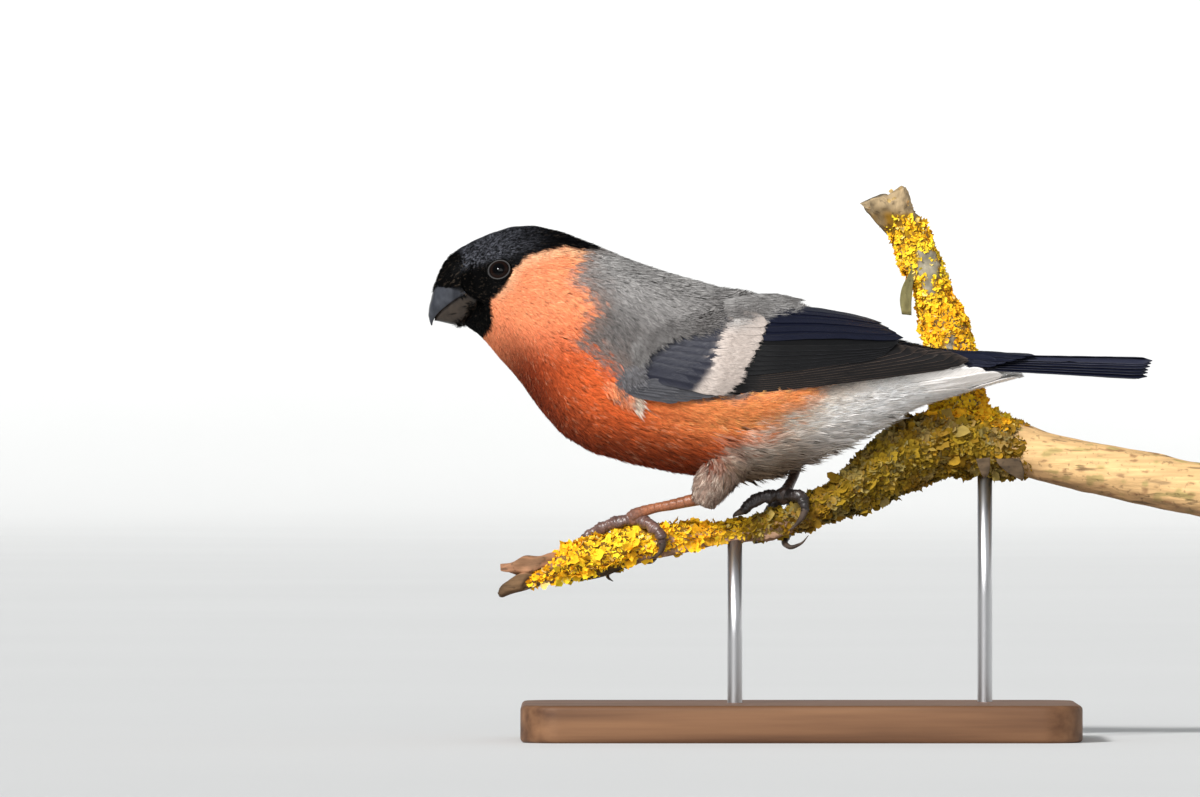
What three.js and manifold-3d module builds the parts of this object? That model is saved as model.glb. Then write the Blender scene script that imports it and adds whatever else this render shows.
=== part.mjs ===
// A cock bullfinch standing along a forked, lichened branch, which two short rods hold over a flat base.
// Millimetres, +Z up. The bird faces -X and its left side faces -Y.
// The origin is the middle of the base's underside.
import * as THREE from 'three';
import { mergeVertices } from 'three/addons/utils/BufferGeometryUtils.js';
import Module from 'manifold-3d';

const wasm = await Module();
wasm.setup();

// Driving dimensions
const GAP = 0.3; // clearance that touching pieces keep
const VANE = 0.55; // thickness of a feather's vane
const BASE = { length: 120, width: 72, height: 8, corner: 9, bevel: 1 };
const ROD_RADIUS = 1.6;
const RODS = { front: [-14, 0.6], back: [40, 11] };
const EYE = { x: -64.6, z: 101.0, radius: 2.8, show: 2.0, bulge: 0.8, lid: 0.45 };
const TRUNK_MESH = { sides: 22, slices: 26, crowding: 1.35 }; // slices crowd towards the bill
const LIMB_MESH = { sides: 9, steps: 25 };
const FORK_MESH = { sides: 10, steps: 12 };
const LOBE = { smallest: 1.9, largest: 3.0, flatness: 0.5, sunk: 0.12 }; // lichen

// Stations of the feathered body from the bill's root to the tail's root.
// x, height of the back, of the widest place and of the belly, and the half width there.
const BODY = [
  { x: -76.4, top: 101.2, mid: 99.0, bottom: 97.0, half: 1.9 },
  { x: -75.6, top: 103.0, mid: 98.8, bottom: 94.6, half: 4.3 },
  { x: -74.2, top: 104.8, mid: 98.4, bottom: 92.2, half: 6.4 },
  { x: -71.8, top: 106.4, mid: 98.0, bottom: 89.2, half: 8.5 },
  { x: -68.8, top: 107.9, mid: 97.6, bottom: 87.0, half: 10.1 },
  { x: -64.5, top: 109.5, mid: 97.0, bottom: 82.1, half: 11.5 },
  { x: -60.2, top: 110.4, mid: 95.8, bottom: 77.2, half: 12.5 },
  { x: -53.8, top: 109.8, mid: 92.5, bottom: 68.7, half: 13.8 },
  { x: -47.3, top: 107.7, mid: 89.0, bottom: 63.3, half: 15.4 },
  { x: -40.9, top: 105.1, mid: 86.3, bottom: 60.8, half: 17.3 },
  { x: -32.3, top: 101.8, mid: 83.0, bottom: 58.6, half: 19.2 },
  { x: -21.5, top: 98.6, mid: 79.8, bottom: 56.8, half: 20.1 },
  { x: -10.8, top: 95.4, mid: 78.0, bottom: 55.8, half: 19.3 },
  { x: -2.2, top: 92.6, mid: 77.6, bottom: 58.1, half: 17.2 },
  { x: 6.5, top: 90.2, mid: 77.8, bottom: 61.8, half: 14.2 },
  { x: 15.1, top: 87.8, mid: 78.4, bottom: 66.0, half: 10.9 },
  { x: 23.7, top: 85.5, mid: 79.0, bottom: 70.7, half: 8.0 },
  { x: 32.3, top: 84.0, mid: 79.6, bottom: 73.7, half: 6.0 },
  { x: 40.9, top: 83.1, mid: 80.0, bottom: 76.3, half: 4.5 },
  { x: 47.3, top: 82.2, mid: 80.2, bottom: 78.0, half: 2.6 },
];

// The surface that the folded wing lies on, stood off the body towards the tips.
const WING = [
  { x: -43.0, top: 106.0, mid: 87.1, bottom: 61.3, half: 17.2 },
  { x: -32.3, top: 102.6, mid: 83.0, bottom: 58.0, half: 20.1 },
  { x: -21.5, top: 99.2, mid: 80.0, bottom: 56.3, half: 21.2 },
  { x: -10.8, top: 96.2, mid: 79.0, bottom: 55.9, half: 20.9 },
  { x: 0.0, top: 93.6, mid: 78.8, bottom: 58.0, half: 18.5 },
  { x: 10.8, top: 91.0, mid: 79.5, bottom: 62.4, half: 14.7 },
  { x: 21.5, top: 88.0, mid: 80.8, bottom: 69.0, half: 10.8 },
  { x: 32.3, top: 85.4, mid: 81.8, bottom: 74.0, half: 8.0 },
  { x: 43.0, top: 83.4, mid: 82.0, bottom: 78.0, half: 5.4 },
];

// The branch: centre line and outer radius of its wood and lichen.
const BRANCH = [
  { x: -65.0, y: -1.0, z: 31.6, r: 1.2 },
  { x: -60.2, y: -1.0, z: 33.8, r: 1.7 },
  { x: -51.6, y: -0.6, z: 37.0, r: 3.2 },
  { x: -43.0, y: -0.3, z: 39.6, r: 4.9 },
  { x: -34.4, y: 0.0, z: 42.0, r: 4.2 },
  { x: -25.8, y: 0.2, z: 43.5, r: 3.8 },
  { x: -17.2, y: 0.5, z: 44.6, r: 3.1 },
  { x: -8.6, y: 0.8, z: 45.8, r: 3.3 },
  { x: 0.0, y: 1.5, z: 48.5, r: 4.1 },
  { x: 8.6, y: 3.2, z: 52.4, r: 5.0 },
  { x: 17.2, y: 6.2, z: 58.0, r: 7.6 },
  { x: 25.8, y: 9.0, z: 62.3, r: 8.0 },
  { x: 34.4, y: 10.6, z: 64.5, r: 7.9 },
  { x: 43.0, y: 11.2, z: 63.6, r: 7.2 },
  { x: 51.6, y: 11.0, z: 61.3, r: 6.0 },
  { x: 64.5, y: 10.0, z: 58.3, r: 6.1 },
  { x: 89.2, y: 8.0, z: 53.2, r: 6.4 },
];
const FORK = [
  { x: 35.5, y: 12.0, z: 66.0, r: 7.4 },
  { x: 33.6, y: 17.5, z: 77.0, r: 6.6 },
  { x: 32.0, y: 19.4, z: 86.0, r: 6.0 },
  { x: 29.5, y: 20.0, z: 95.0, r: 4.8 },
  { x: 25.8, y: 20.0, z: 104.5, r: 4.8 },
  { x: 22.2, y: 19.6, z: 112.0, r: 4.7 },
  { x: 18.2, y: 19.0, z: 118.2, r: 4.9 },
];

const vector = (x, y, z) => new THREE.Vector3(x, y, z);
const mix = (a, b, t) => a + (b - a) * t;
const range = (n) => Array.from({ length: n }, (_, i) => i);

// A smooth curve through the points (x, y), by Catmull-Rom slopes.
function through(xs, ys) {
  const last = xs.length - 1;
  const slope = ys.map((_, i) => {
    const a = Math.max(0, i - 1);
    const b = Math.min(last, i + 1);
    return (ys[b] - ys[a]) / (xs[b] - xs[a]);
  });
  return (x) => {
    let i = 0;
    while (i < last - 1 && x > xs[i + 1]) i += 1;
    const h = xs[i + 1] - xs[i];
    const t = Math.min(1, Math.max(0, (x - xs[i]) / h));
    const a = ys[i] + slope[i] * h * t;
    const b = ys[i + 1] - slope[i + 1] * h * (1 - t);
    return mix(a, b, t * t * (3 - 2 * t));
  };
}

// Turns a table of stations into one smooth function for each column.
function stationCurves(table, key) {
  const xs = table.map((row) => row[key]);
  const columns = Object.keys(table[0]).filter((name) => name !== key);
  return Object.fromEntries(columns.map((name) => [name, through(xs, table.map((row) => row[name]))]));
}

const body = stationCurves(BODY, 'x');
const wing = stationCurves(WING, 'x');
const branch = stationCurves(BRANCH, 'x');

// A point of an egg-shaped section: angle 0 is the top, +90 degrees the left side (-Y).
function onShell(shell, x, angle, lift = 0) {
  const up = Math.cos(angle);
  const mid = shell.mid(x);
  const reach = up > 0 ? shell.top(x) - mid : mid - shell.bottom(x);
  const half = shell.half(x);
  const point = vector(x, -half * Math.sin(angle), mid + reach * up);
  if (!lift) return point;
  const out = vector(0, -Math.sin(angle) / half, up / reach).normalize();
  return point.addScaledVector(out, lift);
}

// The angle at which a shell stands at height z, on its left side.
function angleAt(shell, x, z) {
  const mid = shell.mid(x);
  const reach = z > mid ? shell.top(x) - mid : mid - shell.bottom(x);
  return Math.acos(Math.min(1, Math.max(-1, (z - mid) / reach)));
}

// A closed mesh from rings of points, with a fan to the middle of each end.
function loftSolid(rings) {
  const around = rings[0].length;
  const points = rings.flat();
  const faces = [];
  rings.slice(1).forEach((_, i) => {
    range(around).forEach((j) => {
      const k = (j + 1) % around;
      const a = i * around + j;
      const b = i * around + k;
      const c = a + around;
      const d = b + around;
      faces.push([a, c, b], [b, c, d]);
    });
  });
  [[rings[0], 0, false], [rings.at(-1), (rings.length - 1) * around, true]].forEach(([ring, base, end]) => {
    const middle = ring.reduce((sum, p) => sum.add(p), vector(0, 0, 0)).divideScalar(around);
    const m = points.push(middle) - 1;
    range(around).forEach((j) => {
      const k = (j + 1) % around;
      faces.push(end ? [base + j, m, base + k] : [base + k, m, base + j]);
    });
  });
  return solidFrom(points, faces);
}

// A solid from points and triangles, turned to face outwards.
function solidFrom(points, faces) {
  const g = new THREE.BufferGeometry();
  const places = new Float32Array(points.flatMap((p) => p.toArray()));
  g.setAttribute('position', new THREE.BufferAttribute(places, 3));
  g.setIndex(faces.flat());
  const made = solidOf(g);
  if (made.volume() > 0) return made;
  g.setIndex(faces.flatMap(([a, b, c]) => [a, c, b]));
  return solidOf(g);
}

// Any closed three.js geometry as a solid for cutting and joining.
function solidOf(geometry) {
  const g = geometry.clone();
  g.deleteAttribute('normal');
  g.deleteAttribute('uv');
  const merged = mergeVertices(g, 1e-4);
  return new wasm.Manifold(new wasm.Mesh({
    numProp: 3,
    vertProperties: new Float32Array(merged.attributes.position.array),
    triVerts: new Uint32Array(merged.index.array),
  }));
}

// Only the largest closed surface of a solid.
function largest(solid) {
  return solid.decompose().sort((a, b) => b.volume() - a.volume())[0];
}

const join = (solids) => solids.reduce((sum, next) => sum.add(next));
const cutAway = (solid, ...tools) => tools.reduce((left, tool) => left.subtract(tool), solid);
const mirrored = (solid) => solid.mirror([0, 1, 0]);

// A round tube along points with a radius at each, rounded off to a point at both ends.
function tubeSolid(points, radii, sides, grow = 0) {
  const curve = new THREE.CatmullRomCurve3(points, false, 'centripetal');
  const steps = Math.round((points.length - 1) * 1.5);
  const frames = curve.computeFrenetFrames(steps, false);
  const radiusAt = through(range(points.length), radii);
  const rings = range(steps + 1).map((i) => {
    const t = i / steps;
    const centre = curve.getPoint(t);
    const end = i === 0 || i === steps;
    const radius = Math.max(0.12, (radiusAt(t * (points.length - 1)) + grow) * (end ? 0.6 : 1));
    if (end) centre.addScaledVector(curve.getTangent(t), (i === 0 ? -1 : 1) * (radius * 0.5 + grow));
    return range(sides).map((j) => {
      const turn = (2 * Math.PI * j) / sides;
      return centre.clone()
        .addScaledVector(frames.normals[i], radius * Math.cos(turn))
        .addScaledVector(frames.binormals[i], radius * Math.sin(turn));
    });
  });
  return loftSolid(rings);
}

// The outward normal of a shell, slope along the bird included.
function shellNormal(shell, x, angle) {
  const along = onShell(shell, x + 0.5, angle).sub(onShell(shell, x - 0.5, angle));
  const around = onShell(shell, x, angle + 0.02).sub(onShell(shell, x, angle - 0.02));
  return around.cross(along).normalize();
}

// The position, outward normal and place across a shell for a feather's centre line at (x, z).
function shellFrame(shell, x, z, towards) {
  const angle = angleAt(shell, x, z);
  const normal = shellNormal(shell, x, angle);
  const lie = towards.clone().addScaledVector(normal, -towards.dot(normal)).normalize();
  return { here: onShell(shell, x, angle), normal, side: normal.clone().cross(lie) };
}

// One feather on a shell's left side: a slab of even thickness from a root to a rounded tip.
// Both faces have the same triangles. lift is how far the shaft stands off the shell at root and tip.
// tuck drops the edge that the next feather covers.
function vaneSolid(shell, feather, grow = 0) {
  const { root, tip, width, lift, tuck = 0.5, bow = 0, taper = 0.35, across = 3 } = feather;
  const long = [[0, 0.6], [0.42, 1], [0.84, 0.85], [1, taper]];
  const short = [[0, 0.6], [0.5, 1], [0.84, 0.85], [1, taper]];
  const shape = Math.abs(tip[0] - root[0]) > 22 ? long : short;
  const on = ([x, z]) => onShell(shell, x, angleAt(shell, x, z));
  const towards = on(tip).sub(on(root));
  const top = [];
  const low = [];
  shape.forEach(([t, share]) => {
    const s = t + (t === 1 ? grow / towards.length() : 0);
    const x = mix(root[0], tip[0], s);
    const z = mix(root[1], tip[1], s) + bow * 4 * t * (1 - t);
    const { here, normal, side } = shellFrame(shell, x, z, towards);
    const rise = mix(lift[0], lift[1], t);
    const half = (width / 2) * share + grow;
    range(across).map((j) => mix(-1, 1, j / (across - 1))).forEach((u) => {
      const droop = Math.abs(u) * 0.18 + (u > 0 ? tuck : 0);
      const p = here.clone().addScaledVector(side, u * half).addScaledVector(normal, rise - droop);
      top.push(p.clone().addScaledVector(normal, VANE / 2 + grow));
      low.push(p.clone().addScaledVector(normal, -VANE / 2 - grow));
    });
  });
  return slabSolid(top, low, shape.length, across);
}

// A closed slab between two equal grids of points, with triangles alike on both faces.
function slabSolid(top, low, rows, across) {
  const count = rows * across;
  const at = (i, j) => i * across + j;
  const faces = [];
  range(rows - 1).forEach((i) => range(across - 1).forEach((j) => {
    const [a, b, c, d] = [at(i, j), at(i, j + 1), at(i + 1, j), at(i + 1, j + 1)];
    faces.push([a, b, c], [b, d, c]);
    faces.push([a + count, c + count, b + count], [b + count, c + count, d + count]);
  }));
  const rim = [
    ...range(across - 1).map((j) => [at(0, j), at(0, j + 1)]),
    ...range(rows - 1).map((i) => [at(i, across - 1), at(i + 1, across - 1)]),
    ...range(across - 1).map((j) => [at(rows - 1, across - 1 - j), at(rows - 1, across - 2 - j)]),
    ...range(rows - 1).map((i) => [at(rows - 1 - i, 0), at(rows - 2 - i, 0)]),
  ];
  rim.forEach(([a, b]) => faces.push([b, a, a + count], [b, a + count, b + count]));
  return solidFrom([...top, ...low], faces);
}

// A row of like feathers between a first and a last one.
function featherRow(count, first, last) {
  return range(count).map((i) => {
    const t = count > 1 ? i / (count - 1) : 0;
    const pair = (a, b) => [mix(a[0], b[0], t), mix(a[1], b[1], t)];
    return {
      root: pair(first.root, last.root),
      tip: pair(first.tip, last.tip),
      lift: pair(first.lift, last.lift),
      width: mix(first.width, last.width, t),
      tuck: first.tuck ?? 0.5,
      bow: mix(first.bow ?? 0, last.bow ?? 0, t),
      taper: first.taper ?? 0.35,
      across: first.across ?? 3,
    };
  });
}

// Trunk, cut from one loft so that head, neck, torso and rump meet in flat cuts.
function bodyLoft(grow = 0) {
  const { sides, slices, crowding } = TRUNK_MESH;
  const [front, back] = [BODY[0].x, BODY.at(-1).x];
  const rings = range(slices + 1).map((i) => {
    const x = mix(front, back, (i / slices) ** crowding);
    return range(sides).map((j) => onShell(body, x, (2 * Math.PI * j) / sides, grow));
  });
  if (grow) {
    rings[0].forEach((p) => { p.x -= grow; });
    rings.at(-1).forEach((p) => { p.x += grow; });
  }
  return loftSolid(rings);
}

// A flat cut through a side-view point, leaning from the vertical by some degrees.
function planeAt(x, z, leanDegrees) {
  const lean = THREE.MathUtils.degToRad(leanDegrees);
  const normal = [Math.cos(lean), 0, Math.sin(lean)];
  return { normal, offset: normal[0] * x + normal[2] * z };
}

function between(solid, before, after) {
  let left = solid;
  if (before) left = left.trimByPlane(before.normal, before.offset + GAP / 2);
  if (after) left = left.trimByPlane(after.normal.map((n) => -n), -after.offset + GAP / 2);
  return left;
}

// Bill
const UPPER_BILL = [
  { culmen: [-75.6, 101.0], edge: [-70.8, 96.4], half: 5.0 },
  { culmen: [-77.4, 99.4], edge: [-72.6, 95.7], half: 4.7 },
  { culmen: [-78.6, 97.2], edge: [-74.3, 94.7], half: 4.2 },
  { culmen: [-79.4, 94.6], edge: [-76.0, 93.3], half: 3.4 },
  { culmen: [-79.8, 92.2], edge: [-77.7, 91.6], half: 2.3 },
  { culmen: [-79.75, 90.6], edge: [-78.7, 90.4], half: 1.2 },
  { culmen: [-79.35, 89.2], edge: [-79.1, 89.2], half: 0.3 },
];
const LOWER_BILL = [
  { edge: [-69.4, 96.7], gonys: [-69.0, 91.4], half: 4.7 },
  { edge: [-72.2, 95.9], gonys: [-71.6, 89.6], half: 4.6 },
  { edge: [-74.2, 94.8], gonys: [-73.8, 89.3], half: 4.0 },
  { edge: [-75.9, 93.4], gonys: [-75.8, 89.6], half: 3.2 },
  { edge: [-77.5, 91.8], gonys: [-77.5, 90.0], half: 2.1 },
  { edge: [-78.5, 90.7], gonys: [-78.6, 90.15], half: 0.8 },
];
const NOSTRIL = { x: -75.9, y: 2.6, z: 98.4, radius: 0.55 };

// A half-round section across the bill, bulging from the mouth's edge over the ridge.
function billRing([ridgeX, ridgeZ], [edgeX, edgeZ], half, grow) {
  const sides = 12;
  const ridge = vector(ridgeX, 0, ridgeZ);
  const edge = vector(edgeX, 0, edgeZ);
  const out = ridge.clone().sub(edge).normalize();
  const foot = edge.clone().addScaledVector(out, -grow);
  const reach = ridge.distanceTo(edge) + 2 * grow;
  const floor = range(3).map((k) => mix(-0.6, 0.6, k / 2) * (half + grow));
  const arch = range(sides - 3).map((k) => {
    const turn = (Math.PI * k) / (sides - 4);
    const side = Math.sign(Math.cos(turn)) * Math.abs(Math.cos(turn)) ** 0.8;
    return foot.clone().addScaledVector(out, reach * Math.sin(turn) ** 0.9).setY(side * (half + grow));
  });
  return [...arch, ...floor.map((y) => foot.clone().setY(y))];
}

// A half of the bill from its stations. Grown, it also reaches further back at its root.
function billHalf(stations, outer, grow = 0) {
  const rings = stations.map((s) => billRing(s[outer], s.edge, s.half, grow));
  if (!grow) return loftSolid(rings);
  const back = rings[0].map((p, i) => p.clone().add(p.clone().sub(rings[1][i]).setLength(grow * 1.2)));
  return loftSolid([back, ...rings]);
}
const upperBill = (grow) => billHalf(UPPER_BILL, 'culmen', grow);
const lowerBill = (grow) => billHalf(LOWER_BILL, 'gonys', grow);

const ball = (x, y, z, radius, detail = 2) => (
  solidOf(new THREE.IcosahedronGeometry(radius, detail)).translate([x, y, z])
);

// Where the left eye looks out: the point on the head and the way it faces
const eyeSeat = (() => {
  const angle = angleAt(body, EYE.x, EYE.z);
  return { here: onShell(body, EYE.x, angle), out: shellNormal(body, EYE.x, angle) };
})();

function eyeBall(grow = 0) {
  const centre = eyeSeat.here.clone().addScaledVector(eyeSeat.out, EYE.bulge - EYE.radius);
  return ball(centre.x, centre.y, centre.z, EYE.radius + grow);
}

// The lids' beaded edge round the eye
function lidRing() {
  const [roundLid, roundEye] = [5, 12];
  const ring = new THREE.TorusGeometry(EYE.show + EYE.lid, EYE.lid, roundLid, roundEye);
  ring.applyQuaternion(new THREE.Quaternion().setFromUnitVectors(vector(0, 0, 1), eyeSeat.out));
  return solidOf(ring).translate(eyeSeat.here.toArray());
}

// Feather tiers of the left wing, in side view: root and tip as (x, z)
const SCAPULARS = [
  ...featherRow(
    3,
    { root: [-41.5, 88.5], tip: [-33.6, 79.2], lift: [-1.9, 0.7], width: 6.4, taper: 0.5 },
    { root: [-36, 94.5], tip: [-25.0, 86.0], lift: [-1.9, 1.1], width: 7.2, taper: 0.5 },
  ),
  ...featherRow(
    3,
    { root: [-32, 94.8], tip: [-18.3, 87.6], lift: [-1.9, 1.3], width: 7.0, taper: 0.5 },
    { root: [-21, 96.2], tip: [-5.4, 91.2], lift: [-1.7, 1.4], width: 6.4, taper: 0.5 },
  ),
  { root: [-15, 95.4], tip: [0.8, 93.0], lift: [-1.5, 1.2], width: 5.0, tuck: 0, taper: 0.2 },
];
const GREATER_COVERTS = featherRow(
  7,
  { root: [-33, 76.2], tip: [-17.6, 74.8], lift: [0.4, 1.3], width: 3.6, across: 2 },
  { root: [-20, 87.6], tip: [-7.0, 89.4], lift: [0.3, 1.5], width: 4.2 },
);
const PRIMARY_COVERTS = featherRow(
  3,
  { root: [-36, 73.8], tip: [-27.6, 72.8], lift: [-0.1, 0.7], width: 2.6, across: 2 },
  { root: [-34, 75.0], tip: [-19.6, 73.9], lift: [0.1, 0.8], width: 2.6 },
);
const PRIMARY_REACH = [0, 5.2, 5.6, 4.6, 2.6, 0];
const PRIMARIES = featherRow(
  6,
  { root: [-19, 74.8], tip: [34.0, 80.9], lift: [-0.1, 0.1], width: 2.1, tuck: 0.15, taper: 0.25, across: 2 },
  { root: [-15, 78.4], tip: [22.8, 84.0], lift: [0.4, 0.5], width: 2.1 },
).map((feather, i) => ({
  ...feather, tip: [feather.tip[0] + PRIMARY_REACH[i], feather.tip[1] + PRIMARY_REACH[i] * 0.03],
}));
const SECONDARIES = featherRow(
  4,
  { root: [-16, 79.2], tip: [18.6, 83.4], lift: [0.55, 0.7], width: 3.2, tuck: 0.2, across: 2 },
  { root: [-13, 84.8], tip: [20.8, 85.4], lift: [0.8, 1.0], width: 3.6 },
);
const TERTIALS = featherRow(
  3,
  { root: [-12, 86.4], tip: [20.8, 86.3], lift: [1.0, 1.4], width: 5.6 },
  { root: [-12, 91.2], tip: [8.5, 91.0], lift: [1.0, 1.2], width: 4.4 },
);

// The fleshy fore wing that every flight feather grows from
const ARM = {
  stations: [-38, -35.5, -29, -21, -13, -5],
  upper: through([-38, -36, -30, -18, -8, -5], [81, 85.5, 89.5, 92, 91, 89.5]),
  lower: through([-38, -36, -30, -18, -8, -5], [77.5, 74.8, 73.2, 73.6, 74.8, 76.5]),
};

function wingArm() {
  const across = 5;
  const top = [];
  const low = [];
  ARM.stations.forEach((x, i) => range(across).forEach((j) => {
    const z = mix(ARM.lower(x), ARM.upper(x), j / (across - 1));
    const angle = angleAt(wing, x, z);
    const inside = i % (ARM.stations.length - 1) && j % (across - 1);
    top.push(onShell(wing, x, angle, inside ? mix(0.1, 0.6, Math.min(1, i / 2)) : -0.25));
    low.push(onShell(wing, x, angle, -2.4));
  }));
  return slabSolid(top, low, ARM.stations.length, across);
}

// Tail: rectrices fanned a little under one another, lying like a low roof
const TAIL = { root: 30, tip: 75.6, width: 3.6, spread: 4.3, ridge: 82.6, slope: -0.018, roof: 0.42 };

function rectrix(rank, side, grow = 0) {
  const shape = [[0, 0.6], [0.9, 1], [1, 0.6]];
  const top = [];
  const low = [];
  shape.forEach(([t, share]) => {
    const x = mix(TAIL.root, TAIL.tip - rank * 0.25, t);
    const out = rank * (TAIL.spread / 5) * mix(0.55, 1, t) + 0.9;
    const half = (TAIL.width / 2) * share * mix(0.75, 1, t) + grow;
    const height = TAIL.ridge + (x - TAIL.root) * TAIL.slope - rank * 0.3;
    [-1, 0, 1].forEach((u) => {
      const y = out + u * half;
      const z = height - TAIL.roof * Math.abs(y) * mix(0.6, 1, t) - Math.abs(u) * 0.1;
      top.push(vector(x, -side * y, z + VANE / 2 + grow));
      low.push(vector(x, -side * y, z - VANE / 2 - grow));
    });
  });
  return slabSolid(top, low, shape.length, 3);
}

// Tail coverts: feathers over and under the tail's root, part of the rump
const tailShell = stationCurves([
  { x: 20, top: 86.4, mid: 79.0, bottom: 69.0, half: 9.3 },
  { x: 30, top: 84.4, mid: 79.6, bottom: 73.2, half: 6.8 },
  { x: 40, top: 83.3, mid: 80.2, bottom: 76.3, half: 5.2 },
  { x: 52, top: 82.7, mid: 80.8, bottom: 78.8, half: 4.3 },
], 'x');
const UPPER_TAIL_COVERTS = featherRow(
  3,
  { root: [31, 82.4], tip: [45.5, 81.2], lift: [-0.9, 0.4], width: 3.8, tuck: 0.1 },
  { root: [31, 84.2], tip: [50.5, 82.5], lift: [-0.9, 0.4], width: 3.4, tuck: 0.1 },
);
const UNDER_TAIL_COVERTS = featherRow(
  2,
  { root: [25, 75.6], tip: [40, 79.0], lift: [-0.9, 0.3], width: 4.2, tuck: 0.1, across: 2 },
  { root: [28, 73.2], tip: [46.6, 78.1], lift: [-0.9, 0.2], width: 3.4, tuck: 0.1 },
);

const bothSides = (solid) => [solid, mirrored(solid)];
const vanes = (shell, row, grow) => row.map((feather) => vaneSolid(shell, feather, grow));

// Where a toe lies: along the branch at x, turned by degrees from its top towards -Y, lifted off it
function roundBranch(x, degrees, lift) {
  const turn = THREE.MathUtils.degToRad(degrees);
  const reach = branch.r(x) + lift;
  return vector(x, branch.y(x) - reach * Math.sin(turn), branch.z(x) + reach * Math.cos(turn));
}

// Toes as [x, degrees round the branch, lift] from the pad on, then the claw from the toe's end on
const TOE = { radius: 1.15, pad: 1.75, claw: 0.85, point: 0.16 };
const FEET = {
  left: {
    pad: [-35.4, 4, 1.7],
    tarsus: [[-21.5, -7.6, 52.0], [-27.5, -5.6, 50.6], [-33.0, -3.0, 49.4], [-35.6, -1.2, 48.2]],
    toes: {
      outer: [[-33.4, 30, 1.3], [-31.4, 56, 1.2], [-30.0, 78, 1.1], [-29.6, 100, 1.0]],
      middle: [[-39.6, -6, 1.2], [-42.6, -16, 1.1], [-45.4, -30, 1.1], [-47.4, -46, 1.0]],
      inner: [[-37.6, -42, 1.3], [-39.2, -74, 1.1], [-40.4, -104, 1.0]],
      hind: [[-33.2, -46, 1.3], [-31.8, -84, 1.1], [-31.2, -118, 1.0]],
    },
    claws: {
      outer: [[-30.2, 122, 0.9], [-32.2, 142, 0.4]],
      middle: [[-49.4, -72, 0.9], [-50.0, -92, 0.4]],
      inner: [[-41.4, -138, 1.0], [-40.2, -168, 1.6]],
      hind: [[-31.6, -144, 0.9], [-33.2, -166, 0.4]],
    },
  },
  right: {
    pad: [-3.4, -4, 1.8],
    tarsus: [[-0.6, 8.4, 60.0], [-1.2, 6.4, 57.2], [-2.4, 3.6, 54.6], [-3.2, 1.6, 53.0]],
    toes: {
      middle: [[-7.0, 6, 2.9], [-9.6, 8, 2.8], [-11.4, 10, 2.0], [-12.4, 10, 1.1]],
      inner: [[-0.4, 38, 1.2], [0.8, 62, 1.2], [0.9, 86, 1.0]],
      hind: [[-1.4, -58, 1.2], [-1.8, -102, 1.1], [-3.0, -144, 1.0]],
      outer: [[-6.2, -48, 1.2], [-7.8, -80, 1.1], [-8.8, -108, 1.0]],
    },
    claws: {
      middle: [[-13.8, 12, 0.7], [-14.4, 30, 0.3]],
      inner: [[-0.4, 108, 0.8], [-2.6, 126, 0.4]],
      hind: [[-2.9, -172, 1.7], [-0.4, -192, 2.5], [1.8, -212, 1.9]],
      outer: [[-9.6, -134, 0.8], [-9.0, -156, 0.4]],
    },
  },
};
const THIGHS = {
  left: {
    points: [[-14, -9.5, 62], [-17.5, -9.2, 57.5], [-19.8, -8.4, 53.6], [-20.6, -7.8, 51.4]],
    radii: [5.5, 4.6, 3.9, 3.0],
  },
  right: { points: [[3, 8.6, 66], [1.4, 8.8, 63], [0.2, 8.7, 61.0]], radii: [4.6, 3.8, 2.6] },
};

const alongBranch = (path, wide, narrow, sides, grow) => tubeSolid(
  path.map((p) => roundBranch(...p)),
  path.map((_, i) => mix(wide, narrow, i / (path.length - 1))),
  sides,
  grow,
);

function footSolid(foot, grow = 0) {
  const pad = roundBranch(...foot.pad);
  return join([
    ball(pad.x, pad.y, pad.z, TOE.pad + grow, 1),
    ...Object.values(foot.toes).map((path) => (
      alongBranch([foot.pad, ...path], TOE.radius, TOE.radius * 0.8, 5, grow)
    )),
  ]);
}

const clawSolid = (foot, toe, grow = 0) => (
  alongBranch([foot.toes[toe].at(-1), ...foot.claws[toe]], TOE.claw, TOE.point, 5, grow)
);

const TARSUS_RADII = [1.45, 1.25, 1.25, 1.5];
const tarsusSolid = (foot, grow = 0) => tubeSolid(
  foot.tarsus.map((p) => vector(...p)), TARSUS_RADII, 8, grow,
);
const thighSolid = (thigh, grow = 0) => tubeSolid(
  thigh.points.map((p) => vector(...p)), thigh.radii, 12, grow,
);

// Branch: lofted rings with lichen lobes sunk into its upper and front sides
function limbSolid(table, { sides, steps }, grow = 0) {
  const curve = new THREE.CatmullRomCurve3(table.map((s) => vector(s.x, s.y, s.z)), false, 'centripetal');
  const radius = through(range(table.length), table.map((s) => s.r));
  const frames = curve.computeFrenetFrames(steps, false);
  const up = vector(0, 1, 0);
  const rings = range(steps + 1).map((i) => {
    const t = i / steps;
    const centre = curve.getPoint(t);
    const a = up.clone().addScaledVector(frames.tangents[i], -up.dot(frames.tangents[i])).normalize();
    const b = frames.tangents[i].clone().cross(a);
    return range(sides).map((j) => {
      const turn = (2 * Math.PI * j) / sides;
      const r = radius(t * (table.length - 1)) + grow;
      return centre.clone().addScaledVector(a, r * Math.cos(turn)).addScaledVector(b, r * Math.sin(turn));
    });
  });
  return loftSolid(rings);
}

// Repeatable random numbers between 0 and 1
function randomFrom(seed) {
  let state = seed;
  return () => {
    state = (state * 16807) % 2147483647;
    return state / 2147483647;
  };
}

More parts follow.
